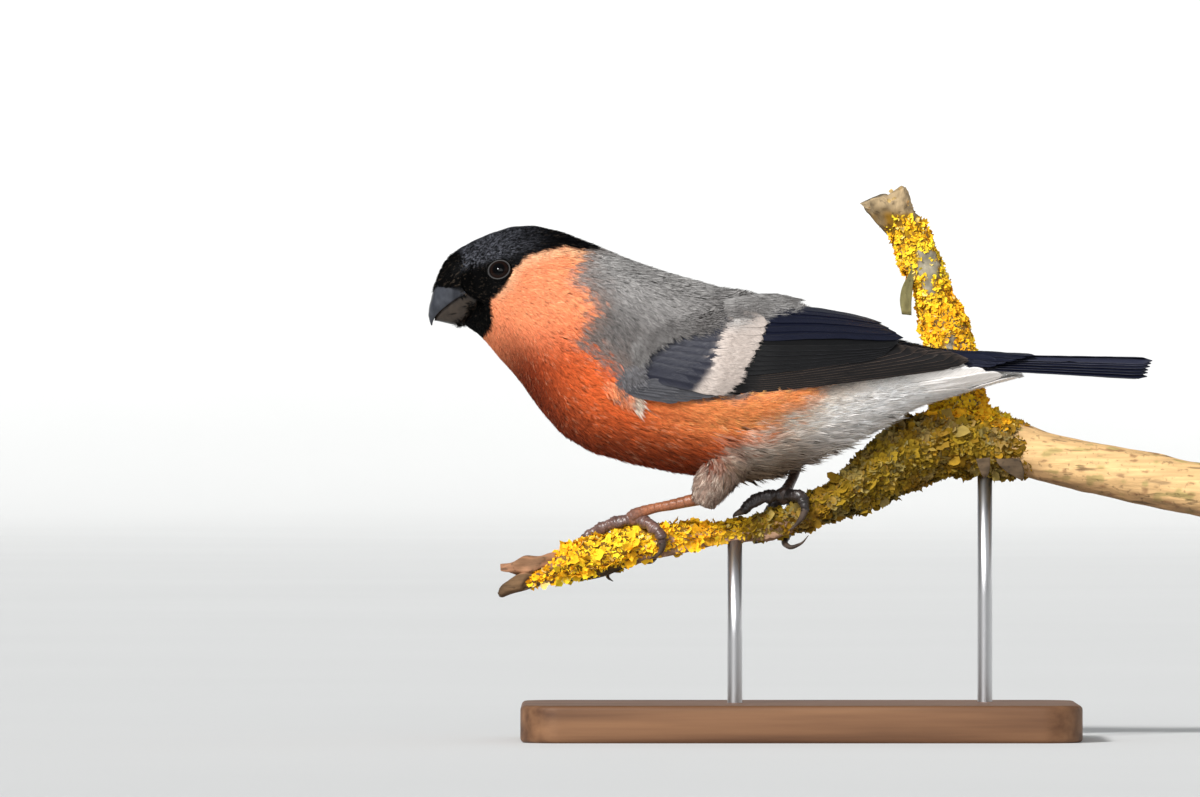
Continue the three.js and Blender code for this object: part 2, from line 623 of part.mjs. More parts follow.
// Lichen lobes: low domes set on a limb between two shares of its length
function lichenLobes(table, from, to, count, seed, facing) {
  const curve = new THREE.CatmullRomCurve3(table.map((s) => vector(s.x, s.y, s.z)), false, 'centripetal');
  const radius = through(range(table.length), table.map((s) => s.r));
  const random = randomFrom(seed);
  return range(count).map((i) => {
    const t = mix(from, to, (i + random()) / count);
    const centre = curve.getPoint(t);
    const tangent = curve.getTangent(t);
    const side = vector(0, -1, 0).addScaledVector(tangent, tangent.y).normalize();
    const over = side.clone().cross(tangent).multiplyScalar(tangent.x > 0 || tangent.z > 0.5 ? 1 : -1);
    const turn = mix(facing[0], facing[1], random());
    const out = side.multiplyScalar(Math.cos(turn)).addScaledVector(over, Math.sin(turn));
    const r = radius(t * (table.length - 1));
    const size = mix(LOBE.smallest, LOBE.largest, random());
    const dome = new THREE.IcosahedronGeometry(size, 0).scale(1, 1, LOBE.flatness);
    dome.applyQuaternion(new THREE.Quaternion().setFromUnitVectors(vector(0, 0, 1), out));
    return solidOf(dome).translate(centre.addScaledVector(out, r - size * LOBE.sunk).toArray());
  });
}

// A flat base with round corners and a small bevel
function standBase() {
  const { length, width, height, corner, bevel } = BASE;
  const [x, y] = [length / 2 - bevel, width / 2 - bevel];
  const outline = new THREE.Shape();
  outline.moveTo(-x + corner, -y);
  outline.lineTo(x - corner, -y);
  outline.absarc(x - corner, -y + corner, corner, -Math.PI / 2, 0);
  outline.lineTo(x, y - corner);
  outline.absarc(x - corner, y - corner, corner, 0, Math.PI / 2);
  outline.lineTo(-x + corner, y);
  outline.absarc(-x + corner, y - corner, corner, Math.PI / 2, Math.PI);
  outline.lineTo(-x, -y + corner);
  outline.absarc(-x + corner, -y + corner, corner, Math.PI, Math.PI * 1.5);
  const slab = new THREE.ExtrudeGeometry(outline, {
    depth: height - 2 * bevel, bevelThickness: bevel, bevelSize: bevel, bevelSegments: 1, curveSegments: 4,
  });
  return solidOf(slab).translate([0, 0, bevel]);
}

function rodSolid([x, y], from, to) {
  const sides = 12;
  const rod = new THREE.CylinderGeometry(ROD_RADIUS, ROD_RADIUS, to - from, sides).rotateX(Math.PI / 2);
  return solidOf(rod).translate([x, y, (from + to) / 2]);
}

// Everything that a later piece is cut clear of is also made a gap larger.
const grown = {
  upperBill: upperBill(GAP),
  lowerBill: lowerBill(GAP),
  eye: eyeBall(GAP),
  body: bodyLoft(GAP),
  scapulars: join(vanes(wing, SCAPULARS, GAP)),
  tailCoverts: join(
    [UPPER_TAIL_COVERTS, UNDER_TAIL_COVERTS].flatMap((row) => vanes(tailShell, row, GAP)),
  ),
  feet: join(Object.values(FEET).flatMap((foot) => [
    footSolid(foot, GAP),
    ...Object.keys(foot.claws).map((toe) => clawSolid(foot, toe, GAP)),
  ])),
  thighs: join(Object.values(THIGHS).map((thigh) => thighSolid(thigh, GAP))),
};

// Flat cuts that part the trunk
const CUTS = {
  headNeck: planeAt(-52.6, 92, -34),
  neckTorso: planeAt(-39.7, 84, -27),
  torsoRump: planeAt(17.2, 78, -12),
};

const whole = bodyLoft();
const solids = {};

solids.upper_bill = largest(cutAway(
  upperBill(),
  ball(NOSTRIL.x, NOSTRIL.y, NOSTRIL.z, NOSTRIL.radius, 1),
  ball(NOSTRIL.x, -NOSTRIL.y, NOSTRIL.z, NOSTRIL.radius, 1),
));
solids.lower_bill = largest(cutAway(lowerBill(), grown.upperBill));
solids.eye_left = eyeBall();
solids.eye_right = mirrored(solids.eye_left);
solids.head = largest(cutAway(
  join([between(whole, null, CUTS.headNeck), ...bothSides(lidRing())]),
  grown.upperBill,
  grown.lowerBill,
  ...bothSides(grown.eye),
));
solids.neck = between(whole, CUTS.headNeck, CUTS.neckTorso);

const scapulars = join(vanes(wing, SCAPULARS));
solids.torso = largest(join([
  between(whole, CUTS.neckTorso, CUTS.torsoRump),
  ...bothSides(scapulars),
]));
solids.torso = largest(between(solids.torso, CUTS.neckTorso, null));

const tailCoverts = join([UPPER_TAIL_COVERTS, UNDER_TAIL_COVERTS].flatMap((row) => vanes(tailShell, row)));
solids.rump = largest(join([between(whole, CUTS.torsoRump, null), ...bothSides(tailCoverts)]));

const rectrices = range(6).flatMap((rank) => [rectrix(rank, 1), rectrix(rank, -1)]);
solids.tail = largest(cutAway(join(rectrices), grown.body, ...bothSides(grown.tailCoverts)));

const tailGrown = join(range(6).flatMap((rank) => [rectrix(rank, 1, GAP), rectrix(rank, -1, GAP)]));
const wingFeathers = join([
  wingArm(),
  ...[PRIMARIES, SECONDARIES, TERTIALS, PRIMARY_COVERTS, GREATER_COVERTS].flatMap((row) => vanes(wing, row)),
]);
solids.wing_left = largest(cutAway(
  wingFeathers, grown.body, grown.scapulars, grown.tailCoverts, tailGrown,
));
solids.wing_right = mirrored(solids.wing_left);

Object.entries(THIGHS).forEach(([side, thigh]) => {
  solids[`thigh_${side}`] = largest(cutAway(thighSolid(thigh), grown.body));
});
Object.entries(FEET).forEach(([side, foot]) => {
  const footGrown = footSolid(foot, GAP);
  solids[`foot_${side}`] = largest(footSolid(foot));
  solids[`tarsus_${side}`] = largest(cutAway(tarsusSolid(foot), footGrown, grown.thighs, grown.body));
  Object.keys(foot.claws).forEach((toe) => {
    solids[`claw_${side}_${toe}`] = largest(cutAway(clawSolid(foot, toe), footGrown));
  });
});

const limb = join([
  limbSolid(BRANCH, LIMB_MESH),
  ...lichenLobes(BRANCH, 0.14, 0.66, 17, 7, [-0.5, 2.2]),
]);
const forkLimb = join([
  limbSolid(FORK, FORK_MESH),
  ...lichenLobes(FORK, 0.12, 0.86, 9, 23, [-1.2, 1.2]),
]);
const limbClear = cutAway(limb, grown.feet, grown.body);
const PERCH_CUTS = {
  tip: planeAt(-24, 44, 8),
  middle: planeAt(15, 57, 25),
  crotch: planeAt(48, 62, -12),
  fork: { normal: [0, 0, 1], offset: 72.4 },
};
const crotchRise = forkLimb.trimByPlane([0, 0, -1], -PERCH_CUTS.fork.offset + GAP / 2);
solids.perch_tip = largest(between(limbClear, null, PERCH_CUTS.tip));
solids.perch_middle = largest(between(limbClear, PERCH_CUTS.tip, PERCH_CUTS.middle));
solids.perch_crotch = largest(between(
  cutAway(join([limb, crotchRise]), grown.body), PERCH_CUTS.middle, PERCH_CUTS.crotch,
).trimByPlane([0, 0, -1], -PERCH_CUTS.fork.offset + GAP / 2));
solids.perch_butt = largest(between(limbClear, PERCH_CUTS.crotch, null));
solids.perch_fork = largest(cutAway(
  forkLimb.trimByPlane([0, 0, 1], PERCH_CUTS.fork.offset + GAP / 2), grown.body, mirrored(tailGrown),
));

solids.stand_base = standBase();
Object.entries(RODS).forEach(([end, place]) => {
  const limbGrown = limbSolid(BRANCH, LIMB_MESH, GAP);
  const rod = rodSolid(place, BASE.height + GAP, branch.z(place[0]));
  solids[`stand_rod_${end}`] = largest(cutAway(rod, limbGrown));
});

// Finish of each kind of piece
const FINISHES = {
  cap: { color: 0x16161a, roughness: 0.5 },
  breast: { color: 0xe0703c, roughness: 0.8 },
  mantle: { color: 0x8d8e92, roughness: 0.8 },
  rump: { color: 0xeeeae6, roughness: 0.8 },
  flight: { color: 0x191a22, roughness: 0.45 },
  bill: { color: 0x2a2b31, roughness: 0.3 },
  eye: { color: 0x0a0706, roughness: 0.05 },
  leg: { color: 0x6b4a42, roughness: 0.5 },
  claw: { color: 0x2a201c, roughness: 0.35 },
  lichen: { color: 0xd9a51c, roughness: 0.9 },
  wood: { color: 0xb8966e, roughness: 0.8 },
  stand: { color: 0x8a6a4a, roughness: 0.5 },
  rod: { color: 0xb0b0b0, roughness: 0.3, metalness: 1 },
};
const FINISH_OF = [
  [/^head/, 'cap'], [/^neck/, 'breast'], [/^torso/, 'mantle'], [/^rump/, 'rump'],
  [/^(wing|tail)/, 'flight'], [/bill$/, 'bill'], [/^eye/, 'eye'], [/^thigh/, 'breast'],
  [/^(tarsus|foot)/, 'leg'], [/^claw/, 'claw'], [/^perch_butt/, 'wood'], [/^perch/, 'lichen'],
  [/^stand_base/, 'stand'], [/^stand_rod/, 'rod'],
];
const materials = Object.fromEntries(Object.entries(FINISHES).map(([name, look]) => (
  [name, new THREE.MeshStandardMaterial({ metalness: 0, ...look })]
)));

function meshOf(name, solid) {
  const made = solid.getMesh();
  const geometry = new THREE.BufferGeometry();
  const count = made.numVert;
  const position = new Float32Array(count * 3);
  range(count).forEach((i) => {
    position.set(made.vertProperties.subarray(i * made.numProp, i * made.numProp + 3), i * 3);
  });
  geometry.setAttribute('position', new THREE.BufferAttribute(position, 3));
  geometry.setIndex(new THREE.BufferAttribute(new Uint32Array(made.triVerts), 1));
  geometry.computeVertexNormals();
  const finish = FINISH_OF.find(([pattern]) => pattern.test(name))[1];
  const mesh = new THREE.Mesh(geometry, materials[finish]);
  mesh.name = name;
  return mesh;
}

const bullfinch = new THREE.Group();
bullfinch.name = 'bullfinch_on_branch';
Object.entries(solids).forEach(([name, solid]) => bullfinch.add(meshOf(name, solid)));

export default bullfinch;
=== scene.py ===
# %% [markdown]
# # A cock bullfinch on a lichened branch
#
# A construction model of the bird, its perch and its stand is already packed. This lesson loads
# it as a fixed frame and dresses it: one skin, a coat of small feathers, the folded wings and
# tail, the head's fine parts, scaled feet, bark, lichen and the display stand.

import bpy
import numpy as np
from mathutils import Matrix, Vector


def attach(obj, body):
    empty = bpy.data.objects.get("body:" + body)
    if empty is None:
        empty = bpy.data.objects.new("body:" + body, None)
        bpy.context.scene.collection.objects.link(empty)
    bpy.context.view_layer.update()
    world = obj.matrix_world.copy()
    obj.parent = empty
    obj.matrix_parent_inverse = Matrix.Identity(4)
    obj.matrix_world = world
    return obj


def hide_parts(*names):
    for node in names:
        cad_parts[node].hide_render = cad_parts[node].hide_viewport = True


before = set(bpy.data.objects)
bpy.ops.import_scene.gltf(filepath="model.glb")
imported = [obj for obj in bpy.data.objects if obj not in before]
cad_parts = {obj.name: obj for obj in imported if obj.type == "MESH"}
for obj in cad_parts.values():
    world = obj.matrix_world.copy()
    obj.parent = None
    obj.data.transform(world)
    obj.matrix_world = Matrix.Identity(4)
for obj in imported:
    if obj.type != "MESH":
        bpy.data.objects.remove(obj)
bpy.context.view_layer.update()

# %% [markdown]
# ## Tools of the trade
#
# Shapes are worked out in millimetres, as a naturalist measures a bird, and become metres when a
# mesh is made. X runs from the bill to the tail, the bird's left side faces -Y, and Z is up.
# Every shape is a whole numpy array, which is quicker and shorter than moving points one by one.

# %% Small helpers
MM = 0.001
draws = np.random.default_rng(7)


def unit(v):
    """Vectors divided by their lengths."""
    return v / np.maximum(np.linalg.norm(v, axis=-1, keepdims=True), 1e-12)


def mix(a, b, t):
    """a where t is 0, b where t is 1, and in step between them."""
    return a + (b - a) * t


def swung(first, second, angle):
    """The first of two square ways, swung by an angle towards the second."""
    return np.cos(angle)[..., None] * first + np.sin(angle)[..., None] * second


def ease(low, high, x):
    """0 below low, 1 above high, an even S between: 3t squared less 2t cubed. It falls if low > high."""
    t = np.clip((x - low) / (high - low), 0, 1)
    return t * t * (3 - 2 * t)


def paint(red, green, blue):
    """A colour from its display numbers, 0 to 255, as linear light."""
    c = np.array([red, green, blue]) / 255
    return np.where(c <= 0.04045, c / 12.92, ((c + 0.055) / 1.055) ** 2.4)


def through(places, values):
    """A smooth curve through points: tangents from each point's neighbours, blended by an even S."""
    xs, ys = np.asarray(places, float), np.asarray(values, float)
    ends = np.arange(len(xs))
    low, high = np.maximum(ends - 1, 0), np.minimum(ends + 1, len(xs) - 1)
    run = (xs[high] - xs[low]).reshape([-1] + [1] * (ys.ndim - 1))
    slope = (ys[high] - ys[low]) / run

    def curve(x):
        x = np.asarray(x, float)
        i = np.clip(np.searchsorted(xs, x) - 1, 0, len(xs) - 2)
        h = xs[i + 1] - xs[i]
        t = np.clip((x - xs[i]) / h, 0, 1)
        if ys.ndim > 1:
            h, t = h[..., None], t[..., None]
        a = ys[i] + slope[i] * h * t
        b = ys[i + 1] - slope[i + 1] * h * (1 - t)
        return mix(a, b, t * t * (3 - 2 * t))

    return curve


GOLDEN_STEPS = 0.7548776662466927, 0.5698402909980532


def golden(count, seed=0.0):
    """Two rows of numbers from 0 to 1 that strew points evenly: steps of the plane's golden ratio."""
    i = np.arange(count)
    return tuple((seed + step * i) % 1 for step in GOLDEN_STEPS)


def full_turn(count, start=-np.pi):
    """Angles evenly round a full turn."""
    return np.linspace(start, start + 2 * np.pi, count, endpoint=False)


def noise(points, size, seed=0):
    """Smooth random numbers from -1 to 1: a lattice of cubes with a number at each corner."""
    place = np.asarray(points, float) / size
    cell = np.floor(place).astype(np.int64)
    t = place - cell
    t = t * t * (3 - 2 * t)
    total = np.zeros(place.shape[:-1])
    for corner in np.ndindex(2, 2, 2):
        c = cell + np.array(corner)
        key = c[..., 0] * 73856093 ^ c[..., 1] * 19349663 ^ c[..., 2] * 83492791 ^ seed * 2654435
        key = (key ^ (key >> 13)) * 1274126177 & 0x7FFFFFFF
        share = np.where(np.array(corner) == 1, t, 1 - t).prod(-1)
        total += share * ((key ^ (key >> 15)) % 4093 / 4092)
    return 2 * total - 1


# %% Meshes
def new_piece(name, points, faces, dress, nodes=(), colours=None, maps=None, normals=None):
    """A mesh from points in millimetres and arrays of faces, riding on the model's one body.

    dress is its finish and a slot's name, which only decides whether the piece rides on the body.
    nodes are the solids that it replaces.
    """
    finish, slot = dress
    mesh = bpy.data.meshes.new(name)
    points = np.asarray(points, float).reshape(-1, 3)
    faces = [np.asarray(f, np.int32) for f in faces]
    corners = np.concatenate([f.ravel() for f in faces])
    sizes = np.concatenate([np.full(len(f), f.shape[1]) for f in faces])
    mesh.vertices.add(len(points))
    mesh.vertices.foreach_set("co", (points * MM).astype(np.float32).ravel())
    mesh.loops.add(len(corners))
    mesh.loops.foreach_set("vertex_index", corners)
    mesh.polygons.add(len(sizes))
    mesh.polygons.foreach_set("loop_start", (np.cumsum(sizes) - sizes).astype(np.int32))
    mesh.polygons.foreach_set("use_smooth", np.ones(len(sizes), bool))
    mesh.update(calc_edges=True)
    for map_name, places in (maps or {}).items():
        layer = mesh.uv_layers.new(name=map_name)
        places = np.asarray(places, np.float32).reshape(-1, 2)
        if len(places) != len(corners):
            places = places[corners]
        layer.uv.foreach_set("vector", places.ravel())
    if colours is not None:
        layer = mesh.color_attributes.new("plumage", "FLOAT_COLOR", "POINT")
        rgba = np.ones((len(points), 4), np.float32)
        rgba[:, :3] = np.clip(np.asarray(colours).reshape(-1, 3), 0, 1)
        layer.data.foreach_set("color", rgba.ravel())
    if normals is not None:
        mesh.normals_split_custom_set_from_vertices(np.asarray(normals, np.float32).reshape(-1, 3))
    mesh.materials.append(finish)
    piece = bpy.data.objects.new(name, mesh)
    bpy.context.scene.collection.objects.link(piece)
    if nodes:
        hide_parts(*nodes)
    if slot:
        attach(piece, "root")
    print(f"{name}: {len(points)} points, {int((sizes - 2).sum())} triangles")
    return piece


def grid_faces(rows, columns, closed=False, looped=False):
    """The quads of a grid of points. closed joins its last column to its first, looped its rows."""
    i, j = (k.ravel() for k in np.indices((rows - (not looped), columns - (not closed))))
    k, m = (j + 1) % columns, (i + 1) % rows
    return np.stack([i * columns + j, m * columns + j, m * columns + k, i * columns + k], -1)


def tube_with_ends(rings):
    """Points and faces of a closed tube from rings of points, with a fan to the middle of each end."""
    rows, columns = rings.shape[:2]
    points = np.concatenate([rings.reshape(-1, 3), rings[:1].mean(1), rings[-1:].mean(1)])
    j = np.arange(columns)
    k = (j + 1) % columns
    last = (rows - 1) * columns
    first_fan = np.stack([np.full(columns, rows * columns), j, k], 1)
    last_fan = np.stack([np.full(columns, rows * columns + 1), last + k, last + j], 1)
    return points, [grid_faces(rows, columns, True), np.concatenate([first_fan, last_fan])]


def turned(profile, turn):
    """Rings of a profile of (distance from the Z axis, height), turned about it by some angles."""
    way = np.stack([np.cos(turn), np.sin(turn)], 1)
    rings = profile[:, :1, None] * way
    return np.concatenate([rings, np.broadcast_to(profile[:, 1:, None], rings.shape[:2] + (1,))], -1)


# %% [markdown]
# ## Camera, light and floor
#
# The bird is seen level and exactly side on, from far away through a long lens, so the picture
# shows true lengths. The key lamp shines from the photographer's side and from in front of the
# bird, a third of the way up the sky, as the sun did. Two weak, broad lamps and a pale room
# soften its shadows. Every lamp stands higher than the rim of the floor, a wide round sheet that
# curls up far behind everything, so that no edge of it shows from any side.

# %% Camera
PHOTO = {"width": 1200, "height": 797, "mm_per_pixel": 0.215, "x_zero": 800, "z_zero": 740}
LENS = 500
SENSOR = 36
view_width = PHOTO["width"] * PHOTO["mm_per_pixel"]
camera_data = bpy.data.cameras.new("camera")
camera_data.lens = LENS
camera_data.sensor_width = SENSOR
camera_data.clip_end = 100
camera = bpy.data.objects.new("camera", camera_data)
camera.location = (
    (PHOTO["width"] / 2 - PHOTO["x_zero"]) * PHOTO["mm_per_pixel"] * MM,
    -view_width * LENS / SENSOR * MM,
    (PHOTO["z_zero"] - PHOTO["height"] / 2) * PHOTO["mm_per_pixel"] * MM,
)
camera.rotation_euler = (np.pi / 2, 0, 0)
bpy.context.scene.collection.objects.link(camera)
bpy.context.scene.camera = camera
print("camera at", [round(v, 3) for v in camera.location])

# %% Lamps and room light
def soft_lamp(name, towards, strength, softness):
    """A far lamp whose light comes from one direction, softened over an angle in degrees."""
    data = bpy.data.lights.new(name, "SUN")
    data.energy = strength
    data.angle = np.radians(softness)
    lamp = bpy.data.objects.new(name, data)
    lamp.rotation_mode = "QUATERNION"
    lamp.rotation_quaternion = Vector(towards).to_track_quat("-Z", "Y")
    bpy.context.scene.collection.objects.link(lamp)


soft_lamp("key", (0.5, 0.8, -0.58), 3.8, 9)
soft_lamp("low_fill", (0.12, 0.94, -0.3), 1.2, 36)
soft_lamp("fill", (-0.8, 0.7, -0.2), 0.3, 60)
room = bpy.data.worlds.new("room")
room.use_nodes = True
background = room.node_tree.nodes["Background"]
background.inputs["Color"].default_value = (0.92, 0.96, 1.0, 1)
background.inputs["Strength"].default_value = 0.34
bpy.context.scene.world = room
bpy.context.scene.view_settings.view_transform = "Standard"

# %% [markdown]
# ## Finishes
#
# A finish is a small graph of shader nodes. Feathers need three things: a colour that follows the
# bird's markings, with some painted shade and light, which is kept on the mesh's points, fine
# streaks along each feather, which are noise stretched along the feather's own map, and a soft or
# glossy surface. The streaks also raise a slight bump, as barbs do.

# %% Building shader graphs
def node(tree, kind, inputs=None, output=0, **settings):
    """Adds a shader node, sets or links its inputs, and returns one of its outputs."""
    made = tree.nodes.new(kind)
    for key, value in settings.items():
        setattr(made, key, value)
    for key, value in (inputs or {}).items():
        if isinstance(value, bpy.types.NodeSocket):
            tree.links.new(value, made.inputs[key])
        else:
            made.inputs[key].default_value = value
    return made.outputs[output]


def new_finish(name, **sockets):
    """A material whose one shader has these plain values. Returns it, its tree and its shader."""
    material = bpy.data.materials.new(name)
    material.use_nodes = True
    shader = material.node_tree.nodes["Principled BSDF"]
    for key, value in sockets.items():
        shader.inputs[key.replace("_", " ")].default_value = value
    return material, material.node_tree, shader


def spread(tree, value, low, high):
    """Noise, which lies mostly between 0.3 and 0.7, spread out to run from low to high."""
    return ramp(tree, value, 0.3, 0.7, low, high)


def ramp(tree, value, low, high, start, end):
    """start where the value is under low, end where it is over high, and in step between."""
    return node(tree, "ShaderNodeMapRange", {
        "Value": value, "From Min": low, "From Max": high, "To Min": start, "To Max": end,
    })


def product(tree, first, second):
    """Two values multiplied."""
    return node(tree, "ShaderNodeMath", {0: first, 1: second}, operation="MULTIPLY")


def stretched_noise(tree, scale, detail=3.0, source=None):
    """Noise stretched by three factors, on a map or else on the object's own place in metres."""
    if source is None:
        source = node(tree, "ShaderNodeTexCoord", output=3)
    moved = node(tree, "ShaderNodeMapping", {"Vector": source, "Scale": scale})
    return node(tree, "ShaderNodeTexNoise", {"Vector": moved, "Scale": 1.0, "Detail": detail})


def painted(tree, shader, tone=None, colour=None):
    """Gives the shader a colour, or else the mesh's own marking colours, times a tone if any."""
    if colour is None:
        colour = node(tree, "ShaderNodeAttribute", attribute_name="plumage")
    if tone is not None:
        colour = node(tree, "ShaderNodeVectorMath", {0: colour, "Scale": tone}, operation="SCALE")
    tree.links.new(colour, shader.inputs["Base Color"])


def bumped(tree, shader, height, strength, distance):
    """Raises the shader's surface by a height from 0 to 1."""
    bump = node(tree, "ShaderNodeBump", {"Height": height, "Strength": strength, "Distance": distance})
    tree.links.new(bump, shader.inputs["Normal"])


def streaked_finish(name, streak, bump, roughness, gloss):
    """Marking colours times streaks that run along each feather's map, in millimetres."""
    material, tree, shader = new_finish(name, Roughness=roughness, Specular_IOR_Level=gloss)
    barbs = stretched_noise(tree, (7.0, 0.7, 1.0), 2.0, node(tree, "ShaderNodeUVMap", uv_map="vane"))
    painted(tree, shader, spread(tree, barbs, 1 - streak, 1 + streak))
    bumped(tree, shader, barbs, bump, 0.15 * MM)
    return material


# %% Feather finishes, each with its slot
FEATHERS = {
    kind: (streaked_finish(f"{kind}_feather", streak, 0.5, roughness, gloss), f"{kind}_feathers")
    for kind, streak, roughness, gloss in (
        ("breast", 0.3, 0.8, 0.25), ("mantle", 0.3, 0.8, 0.25), ("rump", 0.16, 0.85, 0.25),
        ("cap", 0.4, 0.5, 0.06), ("flight", 0.3, 0.4, 0.2),
    )
}
print("feather finishes", list(FEATHERS))

# %% [markdown]
# ## The form of the bird
#
# A bird's outline is its plumage, not its flesh. One table gives that outline: at each station
# along the body, the heights of the back, of the widest place and of the belly, and half the
# width. Smooth curves through the columns make a surface of two parameters: x along the bird, and
# an angle round it from the top towards the left side. A second table gives the surface on which
# the folded wings lie. Sculpting would give the same shape, but a table can be measured and kept.

# %% Body and wing surfaces
BODY_STATIONS = [  # x, top, middle, bottom, half width
    (-76.4, 101.2, 99.0, 97.0, 1.9), (-75.6, 103.0, 98.8, 94.6, 4.3),
    (-74.2, 104.8, 98.4, 92.2, 6.4), (-71.8, 106.4, 98.0, 89.2, 8.5),
    (-68.8, 107.9, 97.6, 87.0, 10.1), (-64.5, 109.5, 97.0, 82.1, 11.5),
    (-60.2, 110.4, 95.8, 77.2, 12.5), (-53.8, 109.8, 92.5, 68.7, 13.8),
    (-47.3, 107.7, 89.0, 63.3, 15.4), (-40.9, 105.1, 86.3, 60.8, 17.3),
    (-32.3, 101.8, 83.0, 58.6, 19.2), (-21.5, 98.6, 79.8, 56.8, 20.1),
    (-10.8, 95.4, 78.0, 55.8, 19.3), (-2.2, 92.6, 77.6, 58.1, 17.2),
    (6.5, 90.2, 77.8, 61.8, 14.2), (15.1, 87.8, 78.4, 66.0, 10.9),
    (23.7, 85.5, 79.0, 70.7, 8.0), (32.3, 84.0, 79.6, 73.7, 6.0),
    (40.9, 83.1, 80.0, 76.3, 4.5), (47.3, 82.2, 80.2, 78.0, 2.6),
]
WING_STATIONS = [
    (-43.0, 106.0, 87.1, 61.3, 17.2), (-32.3, 102.6, 83.0, 58.0, 20.1),
    (-21.5, 99.2, 80.0, 56.3, 21.2), (-10.8, 96.2, 79.0, 55.9, 20.9),
    (0.0, 93.6, 78.8, 58.0, 18.5), (10.8, 91.0, 79.5, 62.4, 14.7),
    (21.5, 88.0, 80.8, 69.0, 10.8), (32.3, 85.4, 81.8, 74.0, 8.0),
    (43.0, 83.4, 82.0, 78.0, 5.4),
]
TAIL_STATIONS = [
    (20.0, 86.4, 79.0, 69.0, 9.3), (30.0, 84.4, 79.6, 73.2, 6.8),
    (40.0, 83.3, 80.2, 76.3, 5.2), (52.0, 82.7, 80.8, 78.8, 4.3),
]


class Shell:
    """A surface of egg-shaped sections: each is two half ellipses, above and below its widest place."""

    def __init__(self, stations):
        table = np.array(stations)
        self.columns = through(table[:, 0], table[:, 1:])

    def __call__(self, x, angle):
        """The point at x and at an angle from the top, positive towards the left side, -Y."""
        x, angle = np.broadcast_arrays(np.asarray(x, float), np.asarray(angle, float))
        top, middle, bottom, half = np.moveaxis(self.columns(x), -1, 0)
        up = np.cos(angle)
        reach = np.where(up > 0, top - middle, middle - bottom)
        return np.stack([x, -half * np.sin(angle), middle + reach * up], -1)

    def angle_at(self, x, z):
        """The angle at which the left side stands at height z."""
        top, middle, bottom, _ = np.moveaxis(self.columns(x), -1, 0)
        reach = np.where(z > middle, top - middle, middle - bottom)
        return np.arccos(np.clip((z - middle) / reach, -1, 1))


body = Shell(BODY_STATIONS)
wing = Shell(WING_STATIONS)
tail_base = Shell(TAIL_STATIONS)
BILL_PLANE = {
    "point": np.array([-75.8, 0, 101.8]), "way": np.array([-0.837, 0, -0.548]), "rim": 1.0,
    "chin": 1.9, "chin_z": 92.9,
}


def ahead_of_bill_root(points):
    """How far in front of the plane that the bill grows from."""
    return ((points - BILL_PLANE["point"]) * BILL_PLANE["way"]).sum(-1)


def coat(x, angle):
    """The outside of the plumage.

    It is the body, swollen out to the wing's surface over the fore wing, with the face drawn back
    to the plane that the bill grows from: the distance ahead of it becomes 0, with a round rim.
    """
    a = np.abs(angle)
    over = ease(-45, -34, x) * (1 - ease(-4, 6, x)) * ease(0.25, 0.8, a) * (1 - ease(1.85, 2.15, a))
    over = np.broadcast_to(over, np.broadcast(x, angle).shape)[..., None]
    points = mix(body(x, angle), wing(x, angle), over)
    below_bill = BILL_PLANE["chin"] * np.exp(-((points[..., 2] - BILL_PLANE["chin_z"]) / 1.5) ** 2)
    ahead = ahead_of_bill_root(points) + below_bill
    back = (ahead + np.sqrt(ahead ** 2 + BILL_PLANE["rim"])) / 2
    face = ease(89.6, 91.4, points[..., 2]) * (1 - ease(101.0, 102.4, points[..., 2]))
    return points - (back * face)[..., None] * BILL_PLANE["way"]


def frame_on(surface, p, q, dp=0.2, dq=0.01):
    """How a surface moves along its two parameters, and its outward normal, by small differences."""
    along = (surface(p + dp, q) - surface(p - dp, q)) / (2 * dp)
    around = (surface(p, q + dq) - surface(p, q - dq)) / (2 * dq)
    return along, around, unit(np.cross(around, along))


print("body length along its stations", BODY_STATIONS[-1][0] - BODY_STATIONS[0][0], "mm")

# %% [markdown]
# ## The bird's markings, with painted shade and light
#
# A cock bullfinch wears a black cap and chin, orange-red cheeks and underparts, a grey mantle and
# a white rump and vent. Each edge between two fields is a line drawn in side view, and the signed
# distance from it says how far inside a field a feather lies. Noise shifts that distance a
# little, so that the edges are made of whole feathers and aren't drawn with a ruler. The skin
# and every feather ask the same function for their colour. It also paints shade on the
# down-facing throat and underside, and light on the top of the mantle.

# %% Marking lines, in side view as (x, z)
CAP_LINE = [
    (-67.5, 86.6), (-66.0, 87.7), (-65.6, 90.7), (-66.2, 93.7), (-65.3, 95.0), (-64.2, 96.4),
    (-62.8, 98.0), (-61.7, 99.8), (-60.6, 101.6), (-59.0, 103.2), (-56.3, 104.5), (-53.3, 105.2),
    (-51.0, 105.8), (-49.0, 105.9), (-47.3, 105.4), (-45.2, 104.9), (-43.0, 105.4), (-41.9, 106.4),
]
MANTLE_LINE = [
    (-44.6, 108.9), (-45.4, 105.4), (-46.0, 102.8), (-47.3, 100.6), (-47.3, 97.8), (-44.9, 95.2),
    (-43.9, 93.1), (-44.9, 90.3), (-46.0, 87.5), (-46.2, 84.9), (-44.7, 82.8), (-42.1, 81.3),
    (-39.6, 78.7), (-37.0, 76.1), (-34.4, 74.8), (-20.0, 73.0), (0.0, 75.5), (20.0, 79.0), (44.0, 80.6),
]
VENT_LINE = [
    (10.0, 79.4), (7.5, 76.3), (3.2, 73.5), (-1.1, 70.5), (-7.5, 64.5), (-14.0, 59.1), (-18.9, 54.2),
]
EYE = {"x": -64.6, "z": 101.0, "radius": 3.0, "wide": 2.42, "high": 2.08, "bulge": 0.95, "tilt": -0.2}

